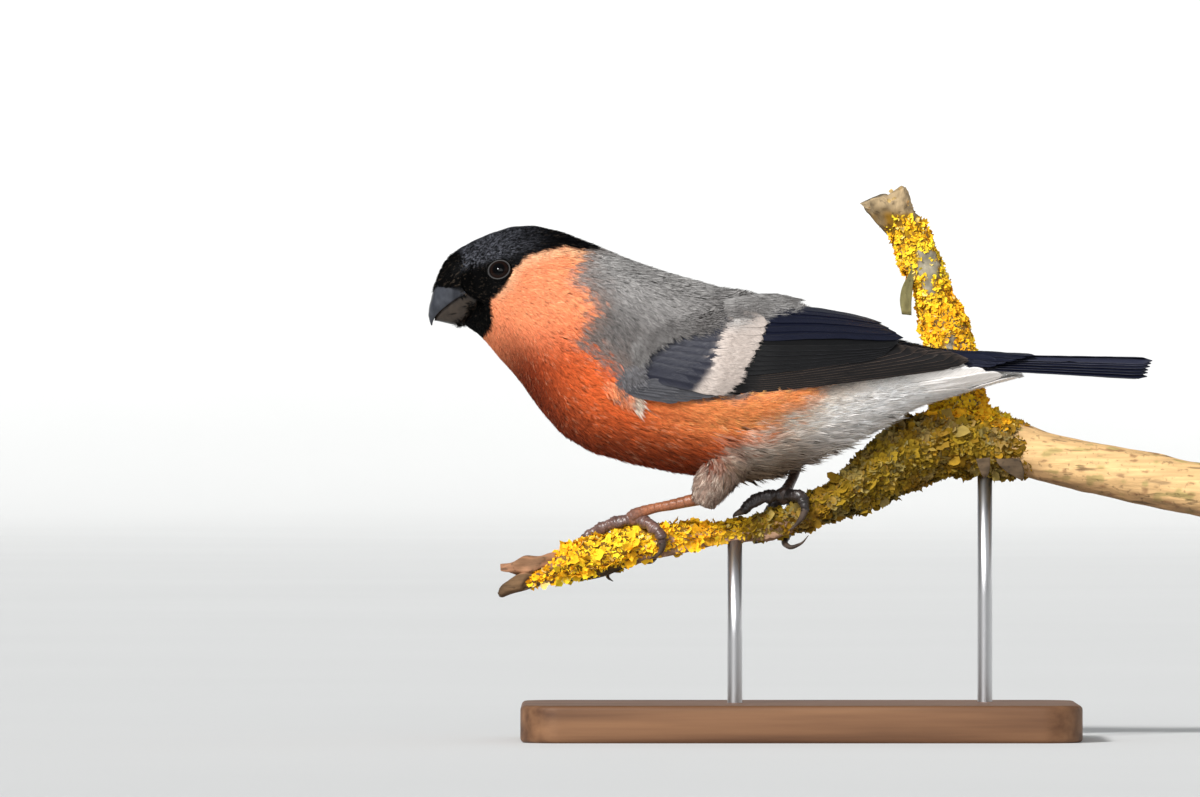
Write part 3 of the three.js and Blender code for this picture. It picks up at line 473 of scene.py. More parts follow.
CAP = paint(8, 8, 10)
CAP_SHEEN = paint(136, 138, 148)
LORE = paint(3, 3, 3)
FACE_FLECK = paint(98, 86, 74)
CHEEK = paint(255, 154, 106)
CHEEK_PALE = paint(255, 190, 146)
THROAT_SHADE = paint(160, 62, 26)
BREAST = paint(222, 102, 48)
FLANK = paint(255, 156, 90)
PALE_HAIR = paint(244, 188, 148)
BEIGE = paint(222, 204, 186)
SHADE = paint(122, 98, 70)
WHITE = paint(250, 245, 240)
MANTLE = paint(99, 95, 93)
MANTLE_PALE_AND_LIT = paint(174, 171, 168)
MANTLE_BROWN = paint(134, 114, 104)
RAIL = paint(15, 16, 23)
THIGH = paint(150, 125, 110)


def beside(line, x, z):
    """Signed distance from a line of points, positive on the left of someone who walks along it."""
    line = np.asarray(line, float)
    step = np.diff(line, axis=0)
    reach = np.stack([x, z], -1)[..., None, :] - line[:-1]
    t = np.clip((reach * step).sum(-1) / (step ** 2).sum(-1), 0, 1)
    gap = np.linalg.norm(reach - t[..., None] * step, axis=-1)
    nearest = gap.argmin(-1)[..., None]
    hand = step[:, 0] * reach[..., 1] - step[:, 1] * reach[..., 0]
    sign = np.sign(np.take_along_axis(hand, nearest, -1))
    return (np.take_along_axis(gap, nearest, -1) * sign)[..., 0]


def blend(colour, over, share):
    """colour with another laid over it by a share for each point."""
    return mix(colour, over, np.asarray(share)[..., None])


def layered(points, colour, *layers):
    """A colour for each of the points, with layers of (colour, share) laid over it in turn."""
    colour = np.broadcast_to(colour, points.shape)
    for over, share in layers:
        colour = blend(colour, over, share)
    return colour


def plumage(points, loose=0.0):
    """The marking colour at each point, and its field: 0 cap, 1 breast, 2 mantle, 3 white, 4 black root.

    loose, in millimetres, moves a feather's place between the softly edged fields. The colour
    also holds painted shade on the down-facing throat and underside and painted light on the top
    of the mantle.
    """
    x, z = points[..., 0], points[..., 2]
    floor = body.columns(x)[..., 2]
    broad = noise(points, 7.0, 1)
    fine = noise(points, 1.6, 2)
    cap = beside(CAP_LINE, x, z) + 0.3 * fine + 0.15 * loose
    mantle = beside(MANTLE_LINE, x, z) + 1.0 * broad + 0.8 * fine + loose
    vent = beside(VENT_LINE, x, z) + 2.2 * broad + 1.4 * fine + 1.5 * loose
    low = 1 - ease(0, 14, z - floor)
    rail = ease(19.5, 22.5, x + fine) * ease(-0.6, 0.6, z - 79.6)
    # The SHADE colour along the bottom of the white underparts is painted shade on the down-facing belly
    # and vent.
    white = layered(
        points, BEIGE, (WHITE, ease(0, 10, vent)),
        (SHADE, (1 - ease(0, 10, z - floor)) * (1 - ease(-2, 16, x)) * 0.9),
    )
    # The mantle's paler grey comes in patches from noise and, from z 87 to 101, towards the top as painted
    # light.
    grey = layered(
        points, MANTLE, (MANTLE_PALE_AND_LIT, np.clip(0.04 + 0.3 * broad + 0.8 * ease(87, 101, z), 0, 1)),
        (MANTLE_BROWN, ease(6, 0, mantle) * 0.7 * ease(76, 82, z)),
    )
    black = layered(points, CAP, (LORE, ease(104.2, 101.4, z) * ease(-58, -63, x)))
    # The throat's deep red is darkened as painted shade where the throat faces down, and half of it again
    # along the low front of the body is more painted shade.
    colour = layered(
        points, CHEEK,
        (THROAT_SHADE, ease(-67, -57, x) * ease(1, 15, 93 - z)),
        (CHEEK_PALE, ease(-3.2, -0.2, cap) * ease(92, 97, z) * 0.85),
        (BREAST, ease(-60, -40, x) * ease(97, 78, z)),
        (FLANK, ease(-38, -16, x) * ease(60, 70, z)),
        (THROAT_SHADE * 0.5, low * ease(-70, -58, x) * 0.85),
        (white, ease(-3.5, 3.5, vent)),
        (grey, ease(-1.4, 1.4, mantle)),
        (WHITE, ease(0, 4, x + loose) * ease(0, 2, mantle)),
        (RAIL, rail),
        (black, ease(-0.25, 0.25, cap)),
    )
    field = np.where(mantle > 0, np.where(x > 2, 3, 2), np.where(vent > 0, 3, 1))
    field = np.where(rail > 0.5, 4, field)
    return colour, np.where(cap > 0, 0, field)


print("orange of the cheek as linear light", CHEEK.round(3))

# %% [markdown]
# ## One skin
#
# Under the feathers lies one continuous skin, so that no seam shows wherever the coat parts. It
# follows the same surface, let in by the coat's depth: a little on the face, more on the body.

# %% Skin
def coat_depth(x):
    """How far the skin lies under the feathers' tips: thin on the face, deeper on the body."""
    return mix(0.45, 1.25, ease(-74, -48, x))


SKIN_ROWS, SKIN_COLUMNS = 230, 144
MAP_START, MAP_LENGTH = -76.4, 123.7


def skin_place(x, angle):
    """A place on the skin's own unwrap: angle across, x along."""
    return np.stack([angle / (2 * np.pi) + 0.5, (x - MAP_START) / MAP_LENGTH], -1)


skin_x = mix(-76.3, 47.2, np.linspace(0, 1, SKIN_ROWS) ** 1.3)[:, None]
skin_x, skin_angle = np.broadcast_arrays(skin_x, full_turn(SKIN_COLUMNS)[None, :])
_, _, skin_normal = frame_on(coat, skin_x, skin_angle)
skin_rings = coat(skin_x, skin_angle) - skin_normal * coat_depth(skin_x)[..., None]
skin_points, skin_faces = tube_with_ends(skin_rings)
skin_colours, _ = plumage(skin_points)
skin_map = np.concatenate([skin_place(skin_x, skin_angle).reshape(-1, 2), [[0.5, 0], [0.5, 1]]])
# The skin takes the marking colours, darkened by a quarter as painted shade in the gaps under the tufts.
new_piece(
    "skin", skin_points, skin_faces, FEATHERS["breast"], colours=skin_colours * 0.75,
    nodes=("head", "neck", "torso", "rump"), maps={"vane": skin_map * 200},
)

# %% [markdown]
# ## Small body feathers
#
# At this size a bird's body shows no single feathers, only the fine barbs at their tips, all
# lying one way. So each tuft is a thin leaf: narrow at its root, which sits on the skin, and cut
# into a few barbs at its tip. Its middle line walks over the surface, so it hugs the body's curve.
# Particle hair would be quicker to lay, but it isn't a mesh that other programs can read.
# The roots are spread evenly by a golden-ratio sequence, denser where the feathers are small.

# %% Laying tufts
def tuft_pattern(barbs):
    """One tuft's points as (share of its length, place across) and its triangles."""
    edge = np.linspace(-1, 1, barbs + 1)
    rows = [np.stack([np.full(barbs + 1, s), edge * w], 1) for s, w in ((0.0, 0.3), (0.5, 1.0))]
    tips = np.stack([np.ones(barbs), (edge[:-1] + edge[1:]) / 2], 1)
    n, i = barbs + 1, np.arange(barbs)
    triangles = [(i, n + i, n + i + 1), (i, n + i + 1, i + 1), (n + i, 2 * n + i, n + i + 1)]
    return np.concatenate(rows + [tips]), np.concatenate([np.stack(t, 1) for t in triangles])


SCATTER_CELLS = 240


def scatter(surface, p_range, q_range, density, seed):
    """Places on a surface, so many to a square millimetre as density(points) says, evenly strewn.

    A fine grid gives the number due in each cell. Two golden-ratio sequences pick a row by the
    rows' running total, and then a place in the row by its own running total.
    """
    rows = columns = SCATTER_CELLS
    p = mix(*p_range, (np.arange(rows) + 0.5) / rows)[:, None] + np.zeros(columns)
    q = mix(*q_range, (np.arange(columns) + 0.5) / columns)[None, :] + np.zeros((rows, 1))
    along, around, _ = frame_on(surface, p, q)
    cell = (p_range[1] - p_range[0]) * (q_range[1] - q_range[0]) / rows / columns
    due = np.linalg.norm(np.cross(along, around), axis=-1) * cell * density(surface(p, q)) + 1e-9
    count = int(due.sum())
    first, second = golden(count, seed)
    totals = np.concatenate([[0], np.cumsum(due.sum(1))])
    at_row = np.interp(first * totals[-1], totals, np.arange(rows + 1))
    row = np.minimum(at_row.astype(int), rows - 1)
    running = np.cumsum(due, 1) / due.sum(1, keepdims=True) + np.arange(rows)[:, None]
    column = np.searchsorted(running.ravel(), row + second) - row * columns
    column = np.clip(column + draws.random(count), 0, columns)
    return mix(*p_range, at_row / rows), mix(*q_range, column / columns)


PATCH = 0.003


def bake_patches(place, flat):
    """A small patch at each root's place on a map, in the shape of the tuft laid flat."""
    local = (flat - flat.min(1, keepdims=True)) / (np.ptp(flat, axis=1, keepdims=True) + 1e-9) - 0.5
    return place[:, None] * (1 - 2 * PATCH) + PATCH + PATCH * local


TIP_FAN = 0.3


class Tufts:
    """Tufts rooted at places (p, q) on a surface, each with its own length, width and heading.

    A tuft's middle line is surface(p + a s, q + b s), where a and b carry it one millimetre along
    its heading for each millimetre of s. The heading turns from the first parameter's way to the
    second's. It rises from sink under the surface to rise over it.
    """

    def __init__(self, surface, p, q, heading, length, width, sink, rise, barbs=5, loose=0.12):
        shape, self.triangles = tuft_pattern(barbs)
        count = len(p)
        sink, rise = np.broadcast_to(sink, (count,)), np.broadcast_to(rise, (count,))
        along, around, normal = frame_on(surface, p, q)
        way = swung(unit(along), np.cross(unit(along), normal), heading)
        aa, ab, bb = (along ** 2).sum(-1), (along * around).sum(-1), (around ** 2).sum(-1)
        da, db = (along * way).sum(-1), (around * way).sum(-1)
        det = aa * bb - ab ** 2
        step_p, step_q = (da * bb - db * ab) / det, (db * aa - da * ab) / det
        stops = []
        for s in (0.0, 0.5, 1.0):
            at_p, at_q = p + step_p * length * s, q + step_q * length * s
            stops.append((surface(at_p, at_q), frame_on(surface, at_p, at_q)[2]))
        self.share, across = shape[:, 0], shape[:, 1]
        tip = self.share > 0.9
        n = barbs + 1
        run = np.broadcast_to(self.share, (count, len(self.share))).copy()
        run[:, 2 * n:] += draws.uniform(-0.26, 0.06, (count, barbs))
        run[:, n:2 * n] += draws.uniform(-0.1, 0.1, (count, n))
        which = np.repeat([0, 1, 2], [n, n, barbs])
        centre = np.stack([stops[k][0] for k in which], 1)
        up = np.stack([stops[k][1] for k in which], 1)
        last_leg = (stops[2][0] - stops[1][0])[:, None] * 2
        centre = centre + last_leg * (run - self.share)[..., None]
        side = unit(np.cross(up, way[:, None]))
        tilt = draws.normal(0, loose, (count, 1))
        half = width[:, None] / 2
        height = np.choose(which, [-1.0, -0.3, 0.0]) * sink[:, None] + tip * rise[:, None]
        height = height + (tilt * across - 0.2 * across ** 2) * half
        height = height + tip * draws.normal(0, 0.05, (count, len(shape))) * length[:, None] ** 0.5
        frayed = tip * draws.normal(0, 0.08, (count, len(shape))) * half
        spreading = across * (1 + TIP_FAN * tip) * half + frayed
        self.points = centre + side * spreading[..., None] + up * height[..., None]
        lean = 0.35 * across + draws.normal(0, 0.12, (count, len(shape)))
        self.normals = unit(up + side * lean[..., None] + way[:, None] * -0.2)
        self.flat = np.stack([draws.uniform(0, 60, (count, 1)) + across * half, run * length[:, None]], -1)
        self.count = count

    def tip_places(self):
        """Where each tuft's middle barb ends."""
        return self.points[:, -2]

    def shaded(self, colour, tuft_spread, barb_spread, root=0.5, tip=1.1):
        """A colour for every point: each tuft and each barb has its own tone, paler to the tips."""
        # Darker roots are painted shade where tufts lie under each other; the tips are paler.
        tone = draws.normal(1, tuft_spread, (self.count, 1)) * mix(root, tip, self.share)
        tone = tone * np.maximum(draws.normal(1, barb_spread, self.points.shape[:2]), 0.3)
        return np.clip(colour[:, None] * tone[..., None], 0, 1)

    def piece(self, name, dress, colours, place, chosen=None):
        """One piece from the chosen tufts or all. place is where their roots are on a map."""
        chosen = np.arange(self.count) if chosen is None else chosen
        count, each = len(chosen), self.points.shape[1]
        faces = (self.triangles[None] + np.arange(count)[:, None, None] * each).reshape(-1, 3)
        flat = self.flat[chosen]
        new_piece(
            name, self.points[chosen], [faces], dress, colours=colours[chosen],
            normals=self.normals[chosen], maps={"OFBake": bake_patches(place[chosen], flat), "vane": flat},
        )


# %% Where feathers lie, and how
wing_low = through([-38, -33, -21.5, 0, 13, 38], [77.5, 74.4, 73.2, 75.6, 78.6, 81.3])
wing_high = through(
    [-38.0, -36.1, -34.0, -32.3, -27.5, -18.3, -9.0, -6.0, 1.0, 10.0, 21.0, 38.0],
    [75.5, 76.6, 79.6, 81.5, 85.6, 87.6, 89.4, 91.2, 93.0, 91.8, 87.2, 82.6],
)
tertial_gap = through([-12, 1.6, 8, 14.5, 22, 34], [9.0, 6.9, 4.5, 2.6, 4.5, 7.0])


def under_wing(points, margin):
    """True where the folded wing hides the body, at least margin inside its edge."""
    x, z = points[..., 0], points[..., 2]
    inside = (z > wing_low(x) + margin) & (z < wing_high(x) - 0.3 * margin)
    return inside & (x > -36.5 + margin) & (x < 34) & (np.abs(points[..., 1]) > tertial_gap(x) + 0.5)


feather_length = through(
    [-77, -72, -66, -60, -54, -46, -34, -10, 15, 28, 38, 47],
    [0.9, 1.1, 1.5, 2.2, 3.0, 3.8, 4.5, 5.0, 5.6, 5.0, 3.6, 1.6],
)
LAYERS = 8.0


def length_at(points):
    """Length of the small feathers: short round the eye and bill, longer down the body."""
    x, z = points[..., 0], points[..., 2]
    to_eye = np.hypot(x - EYE["x"], z - EYE["z"])
    crown = mix(1.0, 0.7, ease(104, 107, z) * ease(-48, -56, x))
    return feather_length(x) * mix(0.6, 1, ease(2.5, 7, to_eye)) * crown


def width_share(x):
    """A tuft's width as a share of its length: broad on the face, hair-like on the body."""
    return mix(0.24, 0.14, ease(-72, -60, x))


def tuft_density(points):
    """Tufts to a square millimetre: so many layers of them over every place."""
    size = length_at(points)
    in_bill = (ahead_of_bill_root(points) > -0.6) & (np.abs(points[..., 1]) < 3.8) & (points[..., 2] > 91)
    in_tail = (points[..., 0] > 34) & (points[..., 2] > 80.2)
    area = size * size * width_share(points[..., 0])
    return np.where(under_wing(points, 1.5) | in_bill | in_tail, 0, LAYERS / area)


def lie_of(x, angle):
    """How far the feathers' lie turns down from straight back: most over the shoulder."""
    a = np.abs(angle)
    shoulder = ease(-50, -38, x) * (1 - ease(-20, 2, x)) * ease(0.3, 0.9, a) * (1 - ease(1.5, 2.1, a))
    cheek = (1 - ease(-60, -50, x)) * ease(0.6, 1.2, a) * (1 - ease(1.7, 2.1, a))
    throat = (1 - ease(-62, -48, x)) * ease(1.9, 2.3, a)
    return (0.04 + 0.38 * shoulder - 0.12 * cheek + 0.25 * throat) * np.sign(angle) * ease(0, 0.3, a)


def eye_distance(points):
    """Distance from the nearer eye's middle, in side view, with its lid's oval as 1."""
    across, up = points[..., 0] - EYE["x"], points[..., 2] - EYE["z"]
    c, s = np.cos(EYE["tilt"]), np.sin(EYE["tilt"])
    return np.hypot((across * c - up * s) / EYE["wide"], (across * s + up * c) / EYE["high"])


# %% Coat
UNEVEN = [0.17, 0.17, 0.11, 0.07, 0.17]  # how much the tone varies in each field
COAT_PIECES = {"cap": "cap", "breast": "breast", "mantle": "mantle", "vent": "rump", "tail_root": "flight"}
MOST_TUFTS = 12500
tuft_x, tuft_angle = scatter(coat, (-76.2, 46.5), (-np.pi, np.pi), tuft_density, 0.5)
roots = coat(tuft_x, tuft_angle)
size = length_at(roots) * draws.uniform(0.8, 1.25, len(roots))
lie = lie_of(tuft_x, tuft_angle)
ends = roots + size[:, None] * np.stack([np.cos(lie), 0 * lie, -np.sin(np.abs(lie))], 1)
keep = ~under_wing(ends, 0.8)
for point, clear in ((roots, 1.08), (ends, 1.02), ((roots + ends) / 2, 1.04)):
    keep &= eye_distance(point) > clear
tuft_x, tuft_angle, roots, size = tuft_x[keep], tuft_angle[keep], roots[keep], size[keep]
wide = size * width_share(tuft_x) * draws.uniform(0.75, 1.2, len(size))
root_x = roots[:, 0]
over_wing = roots[:, 2] - wing_high(root_x)
wing_edge = 0.6 + 0.9 * ease(-32, -26, root_x) + 0.6 * ease(-20, -15, root_x)
wing_edge = wing_edge * ease(-0.5, 0.5, over_wing) * ease(5, 2, over_wing)
wing_edge = wing_edge * ease(-38, -34, root_x) * ease(4, -2, root_x)
ridge = ease(-21, -15, root_x) * ease(-4, -8, root_x) * ease(92.5, 94.5, roots[:, 2])
coat_tufts = Tufts(
    coat, tuft_x, tuft_angle, lie[keep] + draws.normal(0, 0.16, len(size)), size, wide,
    coat_depth(tuft_x) * 0.9, draws.uniform(-0.12, 0.16, len(size)) * np.sqrt(size / 2)
    + np.maximum(wing_edge, 1.1 * ridge),
)
tips = coat_tufts.tip_places()
tuft_colour, field = plumage(tips, draws.normal(0, 0.9, len(size)))
# The CAP_SHEEN flecks on the crown are painted sheen: pale blue-grey tips where the black feathers catch
# the light.
crown = ease(102.2, 105.0, tips[:, 2] + 0.25 * (-64 - tips[:, 0])) * ease(-52, -60, tips[:, 0])
fleck = draws.random(len(size))
sheen = (field == 0) * crown * (fleck < 0.42) * draws.uniform(0.15, 0.85, len(size))
tuft_colour = layered(
    tips, tuft_colour,
    (CAP_SHEEN, sheen * mix(0.5, 1, ease(-58, -66, tips[:, 0]))),
    (FACE_FLECK, (field == 0) * (1 - crown) * (fleck < 0.05) * 0.35),
    (PALE_HAIR, (field == 1) * (fleck < 0.06) * 0.25),
)
body_share = ease(-58, -44, tuft_x)[:, None]
uneven = np.choose(field, UNEVEN)[:, None] * mix(0.55, 1, body_share)
tone = 1 + draws.normal(0, 1, (len(size), 1)) * uneven
calm = 0.1 * (field == 2)[:, None]
# Roots darker than tips as painted shade, less so on the face, and calm softens it on the mantle.
tuft_colours = coat_tufts.shaded(
    tuft_colour * np.maximum(tone, 0.4), 0.0, 0.2, mix(0.8, 0.62, body_share) + calm,
    mix(1.12, 1.28, body_share) - calm,
)
place = skin_place(tuft_x, tuft_angle)
print("tufts in the coat", len(size), "triangles", len(size) * len(coat_tufts.triangles))
for number, (name, kind) in enumerate(COAT_PIECES.items()):
    chosen = np.flatnonzero(field == number)
    chosen = chosen[np.argsort(tuft_x[chosen], kind="stable")]
    for part, some in enumerate(np.array_split(chosen, int(np.ceil(len(chosen) / MOST_TUFTS))), 1):
        coat_tufts.piece(f"coat_{name}_{part}", FEATHERS[kind], tuft_colours, place, some)

# %% [markdown]
# ## Looser feathers
#
# Where one field of plumage meets another, longer and looser feathers lie over the join: the
# shoulder feathers over the folded wing, pale ones at the wing's bend, wisps at the vent and
# stiff bristles round the bill. They are the same tufts, laid by given rules.

# %% Loose feathers on both sides
def band(count, x_range, height, spread_mm, seed):
    """Places on both sides in a band along a curve of heights: x and angle, left side first."""
    along, up = golden(count, seed)
    x = mix(*x_range, along)
    angle = wing.angle_at(x, height(x) + mix(*spread_mm, up))
    return np.concatenate([x, x]), np.concatenate([angle, -angle])


def raised_wing(x, angle):
    """The wing's surface raised to just over its coverts."""
    return wing(x, angle) + frame_on(wing, x, angle)[2] * mix(1.5, 1.15, ease(-14, -4, x))[..., None]


def loose_feathers(
    name, kind, place, sizes, rises, slim, heading, sink, colour, shaped=None, barbs=7, uneven=0.1,
    surface=coat, root_shade=0.6,
):
    """A piece of loose feathers of one kind at places (x, angle) on a surface.

    Lengths and rises are drawn from their ranges in millimetres, and slim is the width over the
    length. shaped(x, rise) changes the rises by place. heading is downwards on both sides.
    """
    x, angle = place
    count = len(x)
    size = draws.uniform(*sizes, count)
    rise = draws.uniform(*rises, count)
    rise = shaped(x, rise) if shaped else rise
    heading = (heading + draws.normal(0, 0.14, count)) * np.sign(angle)
    tufts = Tufts(surface, x, angle, heading, size, size * slim, sink, rise, barbs)
    tint = colour(tufts.tip_places()) if callable(colour) else np.broadcast_to(colour, (count, 3))
    tint = tint * np.maximum(draws.normal(1, uneven, (count, 1)), 0.4)
    # The root tone darkens each tuft's root as painted shade under its neighbours.
    tufts.piece(name, FEATHERS[kind], tufts.shaded(tint, 0.0, 0.12, root_shade, 1.08), skin_place(x, angle))


def marked(points):
    """The marking colours, as on the coat."""
    return plumage(points)[0]


def shoulder_colour(points):
    """Grey, as on the mantle."""
    # Paler in patches from noise, and paler higher up, from z 87 to 101, as painted light.
    share = 0.26 + 0.3 * noise(points, 4.0, 51) + 0.5 * ease(87, 101, points[..., 2])
    return layered(points, MANTLE, (MANTLE_PALE_AND_LIT, np.clip(share, 0, 1)))


def bend_colour(points):
    """Orange to nearly white at the tips, where the wing's bend comes out of the breast."""
    share = ease(-36.6, -33.4, points[..., 0] + 0.6 * noise(points, 1.0, 52))
    return layered(points, CHEEK, (BEIGE * 1.1, share))


def wing_top(x):
    """The height of the folded wing's upper edge, a little behind x."""
    return wing_high(x + 3.9)


# %% Shoulder, wing bend, flank and vent
LESSER = paint(104, 102, 104)
place = band(820, (-37.0, -8.0), wing_top, (1.5, 5.2), 0.11)
loose_feathers(
    "shoulder_feathers", "mantle", place, (3.2, 5.2), (0.7, 1.2), 0.2, 0.4, 0.4, shoulder_colour,
    lambda x, rise: rise + 0.6 * ease(-25, -21, x) * ease(-9, -13, x),
)
# The shoulder points are a touch paler than the shoulder grey, as painted light, and get less painted shade
# at their roots.
place = band(480, (-17.0, -3.4), lambda x: 92.4 + 0.16 * (x + 10), (-1.3, 3.0), 0.47)
loose_feathers(
    "shoulder_points", "mantle", place, (3.6, 5.4), (-0.15, 0.15), 0.17, 0.02, 0.9,
    lambda points: shoulder_colour(points) * 1.02, surface=raised_wing, root_shade=0.85,
)
place = band(40, (-41.0, -35.8), lambda x: 80.5 + 0.62 * (x + 37), (-3.6, 1.4), 0.29)
loose_feathers(
    "lesser_coverts", "mantle", place, (3.8, 5.2), (0.45, 0.8), 0.62, 0.5, 0.5, LESSER, barbs=11,
)
place = band(110, (-43.5, -36.5), lambda x: 75.2 - 0.5 * (x + 40), (-1.5, 1.5), 0.83)
loose_feathers(
    "wing_bend_feathers", "breast", place, (3.6, 6.2), (0.4, 0.9), 0.13, 0.36, 0.5, bend_colour,
    uneven=0.16,
)
place = band(700, (-33.0, 26.0), wing_low, (-4.0, -0.3), 0.05)
loose_feathers("flank_feathers", "breast", place, (3.6, 6.0), (0.0, 0.35), 0.24, -0.06, 0.5, marked)
wisp_along, wisp_round = golden(420)
wisp_angle = mix(2.2, 2 * np.pi - 2.2, wisp_round)
wisp_angle = np.where(wisp_angle > np.pi, wisp_angle - 2 * np.pi, wisp_angle)
place = mix(-22, 16, wisp_along), wisp_angle
loose_feathers(
    "vent_wisps", "rump", place, (5.5, 9.5), (0.1, 1.5), 0.16, 0.1, 0.6, marked,
    lambda x, rise: rise ** 1.5, barbs=5,
)

# %% [markdown]
# ## Flight feathers
#
# Wing and tail feathers are stiff vanes: a thin shaft with a narrow web on its leading side and a
# broad one behind. On the folded wing they lie like a hand of cards. The primaries are lowest and
# longest, the secondaries and the broad tertials cover their roots, and the greater coverts,
# black with pale tips, make the wing bar. Each vane is a closed shell round its middle line. It
# leans a little, so that its broad web slides under the feather above it. A flat card with a
# picture would be lighter, but it would show no layers from other sides.

# %% Bundles of closed shells
def signed_volume(points, quads):
    """Six times the volume inside the quads, positive where they face outwards."""
    a, b, c, d = (points[quads[:, k]] for k in range(4))
    return (np.cross(b - a, c - a) * a).sum() + (np.cross(c - a, d - a) * a).sum()


class Bundle:
    """Closed tubes gathered into one piece, each with its own cell in the bake map."""

    def __init__(self):
        self.points, self.quads, self.fans, self.colours = [], [], [], []
        self.quad_maps, self.fan_maps, self.count, self.tubes = [], [], 0, 0

    def add(self, rings, colours, vane_map):
        """Adds a tube of rings of points, with a colour and a place on the vane map for each point."""
        rows, columns = rings.shape[:2]
        points, (quads, fans) = tube_with_ends(rings)
        i, j = (k.ravel() for k in np.indices((rows - 1, columns)))
        corners = ((j, i), (j, i + 1), (j + 1, i + 1), (j + 1, i))
        cell = np.stack([np.stack([a / columns, b / (rows - 1)], 1) for a, b in corners], 1)
        j = np.arange(columns)
        ends = np.repeat([0.0, 1.0], columns)
        end_cell = np.stack([np.stack([np.tile(a, 2) / columns, ends], 1) for a in (j + 0.5, j, j + 1)], 1)
        end_cell[columns:] = end_cell[columns:][:, [0, 2, 1]]
        flat = np.concatenate([vane_map.reshape(-1, 2), vane_map[:1].mean(1), vane_map[-1:].mean(1)])
        tint = np.concatenate([colours.reshape(-1, 3), colours[:1].mean(1), colours[-1:].mean(1)])
        if signed_volume(points, quads) < 0:
            quads, fans, cell, end_cell = quads[:, ::-1], fans[:, ::-1], cell[:, ::-1], end_cell[:, ::-1]
        self.quad_maps.append((cell, flat[quads], self.tubes))
        self.fan_maps.append((end_cell, flat[fans], self.tubes))
        self.points.append(points)
        self.colours.append(tint)
        self.quads.append(quads + self.count)
        self.fans.append(fans + self.count)
        self.count += len(points)
        self.tubes += 1

    def piece(self, name, dress, **rest):
        """The piece, with its bake map an even sheet of cells, one for each tube."""
        side = int(np.ceil(np.sqrt(self.tubes)))
        bake, vane_map = [], []
        for cell, flat, number in self.quad_maps + self.fan_maps:
            corner = np.array([number % side, number // side])
            bake.append(((corner + 0.03 + 0.94 * cell) / side).reshape(-1, 2))
            vane_map.append(flat.reshape(-1, 2))
        faces = [np.concatenate(self.quads), np.concatenate(self.fans)]
        return new_piece(
            name, np.concatenate(self.points), faces, dress, colours=np.concatenate(self.colours),
            maps={"OFBake": np.concatenate(bake), "vane": np.concatenate(vane_map)}, **rest,
        )


# %% Vanes
ACROSS = np.array([-1.0, -0.9, -0.45, -0.1, 0.0, 0.1, 0.35, 0.6, 0.85, 1.0])
BARB_SLOPE = 1.6


VANE_ROWS = 24
ROOT_WIDTH = 0.4


def feather_width(t, blunt):
    """Share of full width along a vane: narrow at its root, full in the middle, and a round tip."""
    into_tip = np.clip((t - 1 + blunt) / blunt, 0, 1)
    return mix(ROOT_WIDTH, 1.0, ease(0, 0.22, t)) * np.sqrt(np.clip(1 - into_tip ** 2.2, 0.0006, 1))


def add_vane(
    bundle, centre, side, up, width, colour, blunt=0.16, web=0.34, thick=0.14, fringe=None, lean=0.0,
    shaft_tone=0.6,
):
    """A vane from its middle line: webs slope from the shaft, and its edge is a little ragged.

    centre, side and up have a row for each station. side points to the broad web, which lies
    lower by lean for each millimetre. colour is one colour or a function of the share along and
    the place across. fringe is a colour and a share for the edges.
    """
    rows = len(centre)
    t = np.linspace(0, 1, rows)[:, None]
    half = np.where(ACROSS < 0, web, 1 - web) * width * feather_width(t, blunt)
    rag = 1 + 0.04 * draws.normal(0, 1, (rows, 1)) * (np.abs(ACROSS) > 0.9) * (t > 0.35)
    out = ACROSS * half * rag
    shaft = (np.abs(ACROSS) < 0.05) * 0.14 * (1 - 0.7 * t)
    wave = 0.04 * np.sin(7 * ACROSS + 3 * t + draws.uniform(0, 6)) * np.abs(ACROSS)
    height = shaft - 0.06 * np.abs(out) + wave - lean * out
    upper = centre[:, None] + out[..., None] * side[:, None] + up[:, None] * height[..., None]
    lower = upper[:, ::-1] - up[:, None] * thick
    length = np.linalg.norm(np.diff(centre, axis=0), axis=-1).sum()
    spread_mm = np.abs(out)
    flat = np.stack([t * length - BARB_SLOPE * spread_mm + 40 * (ACROSS < 0), spread_mm], -1)
    tint = colour(t, ACROSS) if callable(colour) else np.broadcast_to(colour, (rows, len(ACROSS), 3))
    if fringe is not None:
        edge = (ACROSS < -0.9) * (t > 0.15) + 0.5 * (ACROSS > 0.9) * (t > 0.8) + (t > 0.97) * 0.5
        tint = blend(tint, fringe[0], np.clip(edge, 0, 1) * fringe[1])
    tint = tint * mix(1.0, shaft_tone, (np.abs(ACROSS) < 0.05))[None, :, None]
    bundle.add(
        np.concatenate([upper, lower], 1), np.concatenate([tint, tint[:, ::-1] * 0.8], 1),
        np.concatenate([flat, flat[:, ::-1]], 1),
    )


def folded_line(shell, root, tip, lift, bow):
    """Middle line of a folded feather on a shell's left side, from its root and tip in side view."""
    t = np.linspace(0, 1, VANE_ROWS)
    x, z = mix(root[0], tip[0], t), mix(root[1], tip[1], t) + bow * 4 * t * (1 - t)
    angle = shell.angle_at(x, z)
    _, _, normal = frame_on(shell, x, angle)
    centre = shell(x, angle) + normal * mix(lift[0], lift[1], ease(0, 0.7, t))[:, None]
    way = unit(np.gradient(centre, axis=0))
    side = unit(np.cross(way, normal))
    return centre, side * np.sign(side[:, 2].mean()), normal


def on_side(vectors, side):
    """The left side's points or ways (side -1), or the right's (side 1), with y turned over."""
    return vectors * np.array([1, -side, 1]) if side > 0 else vectors


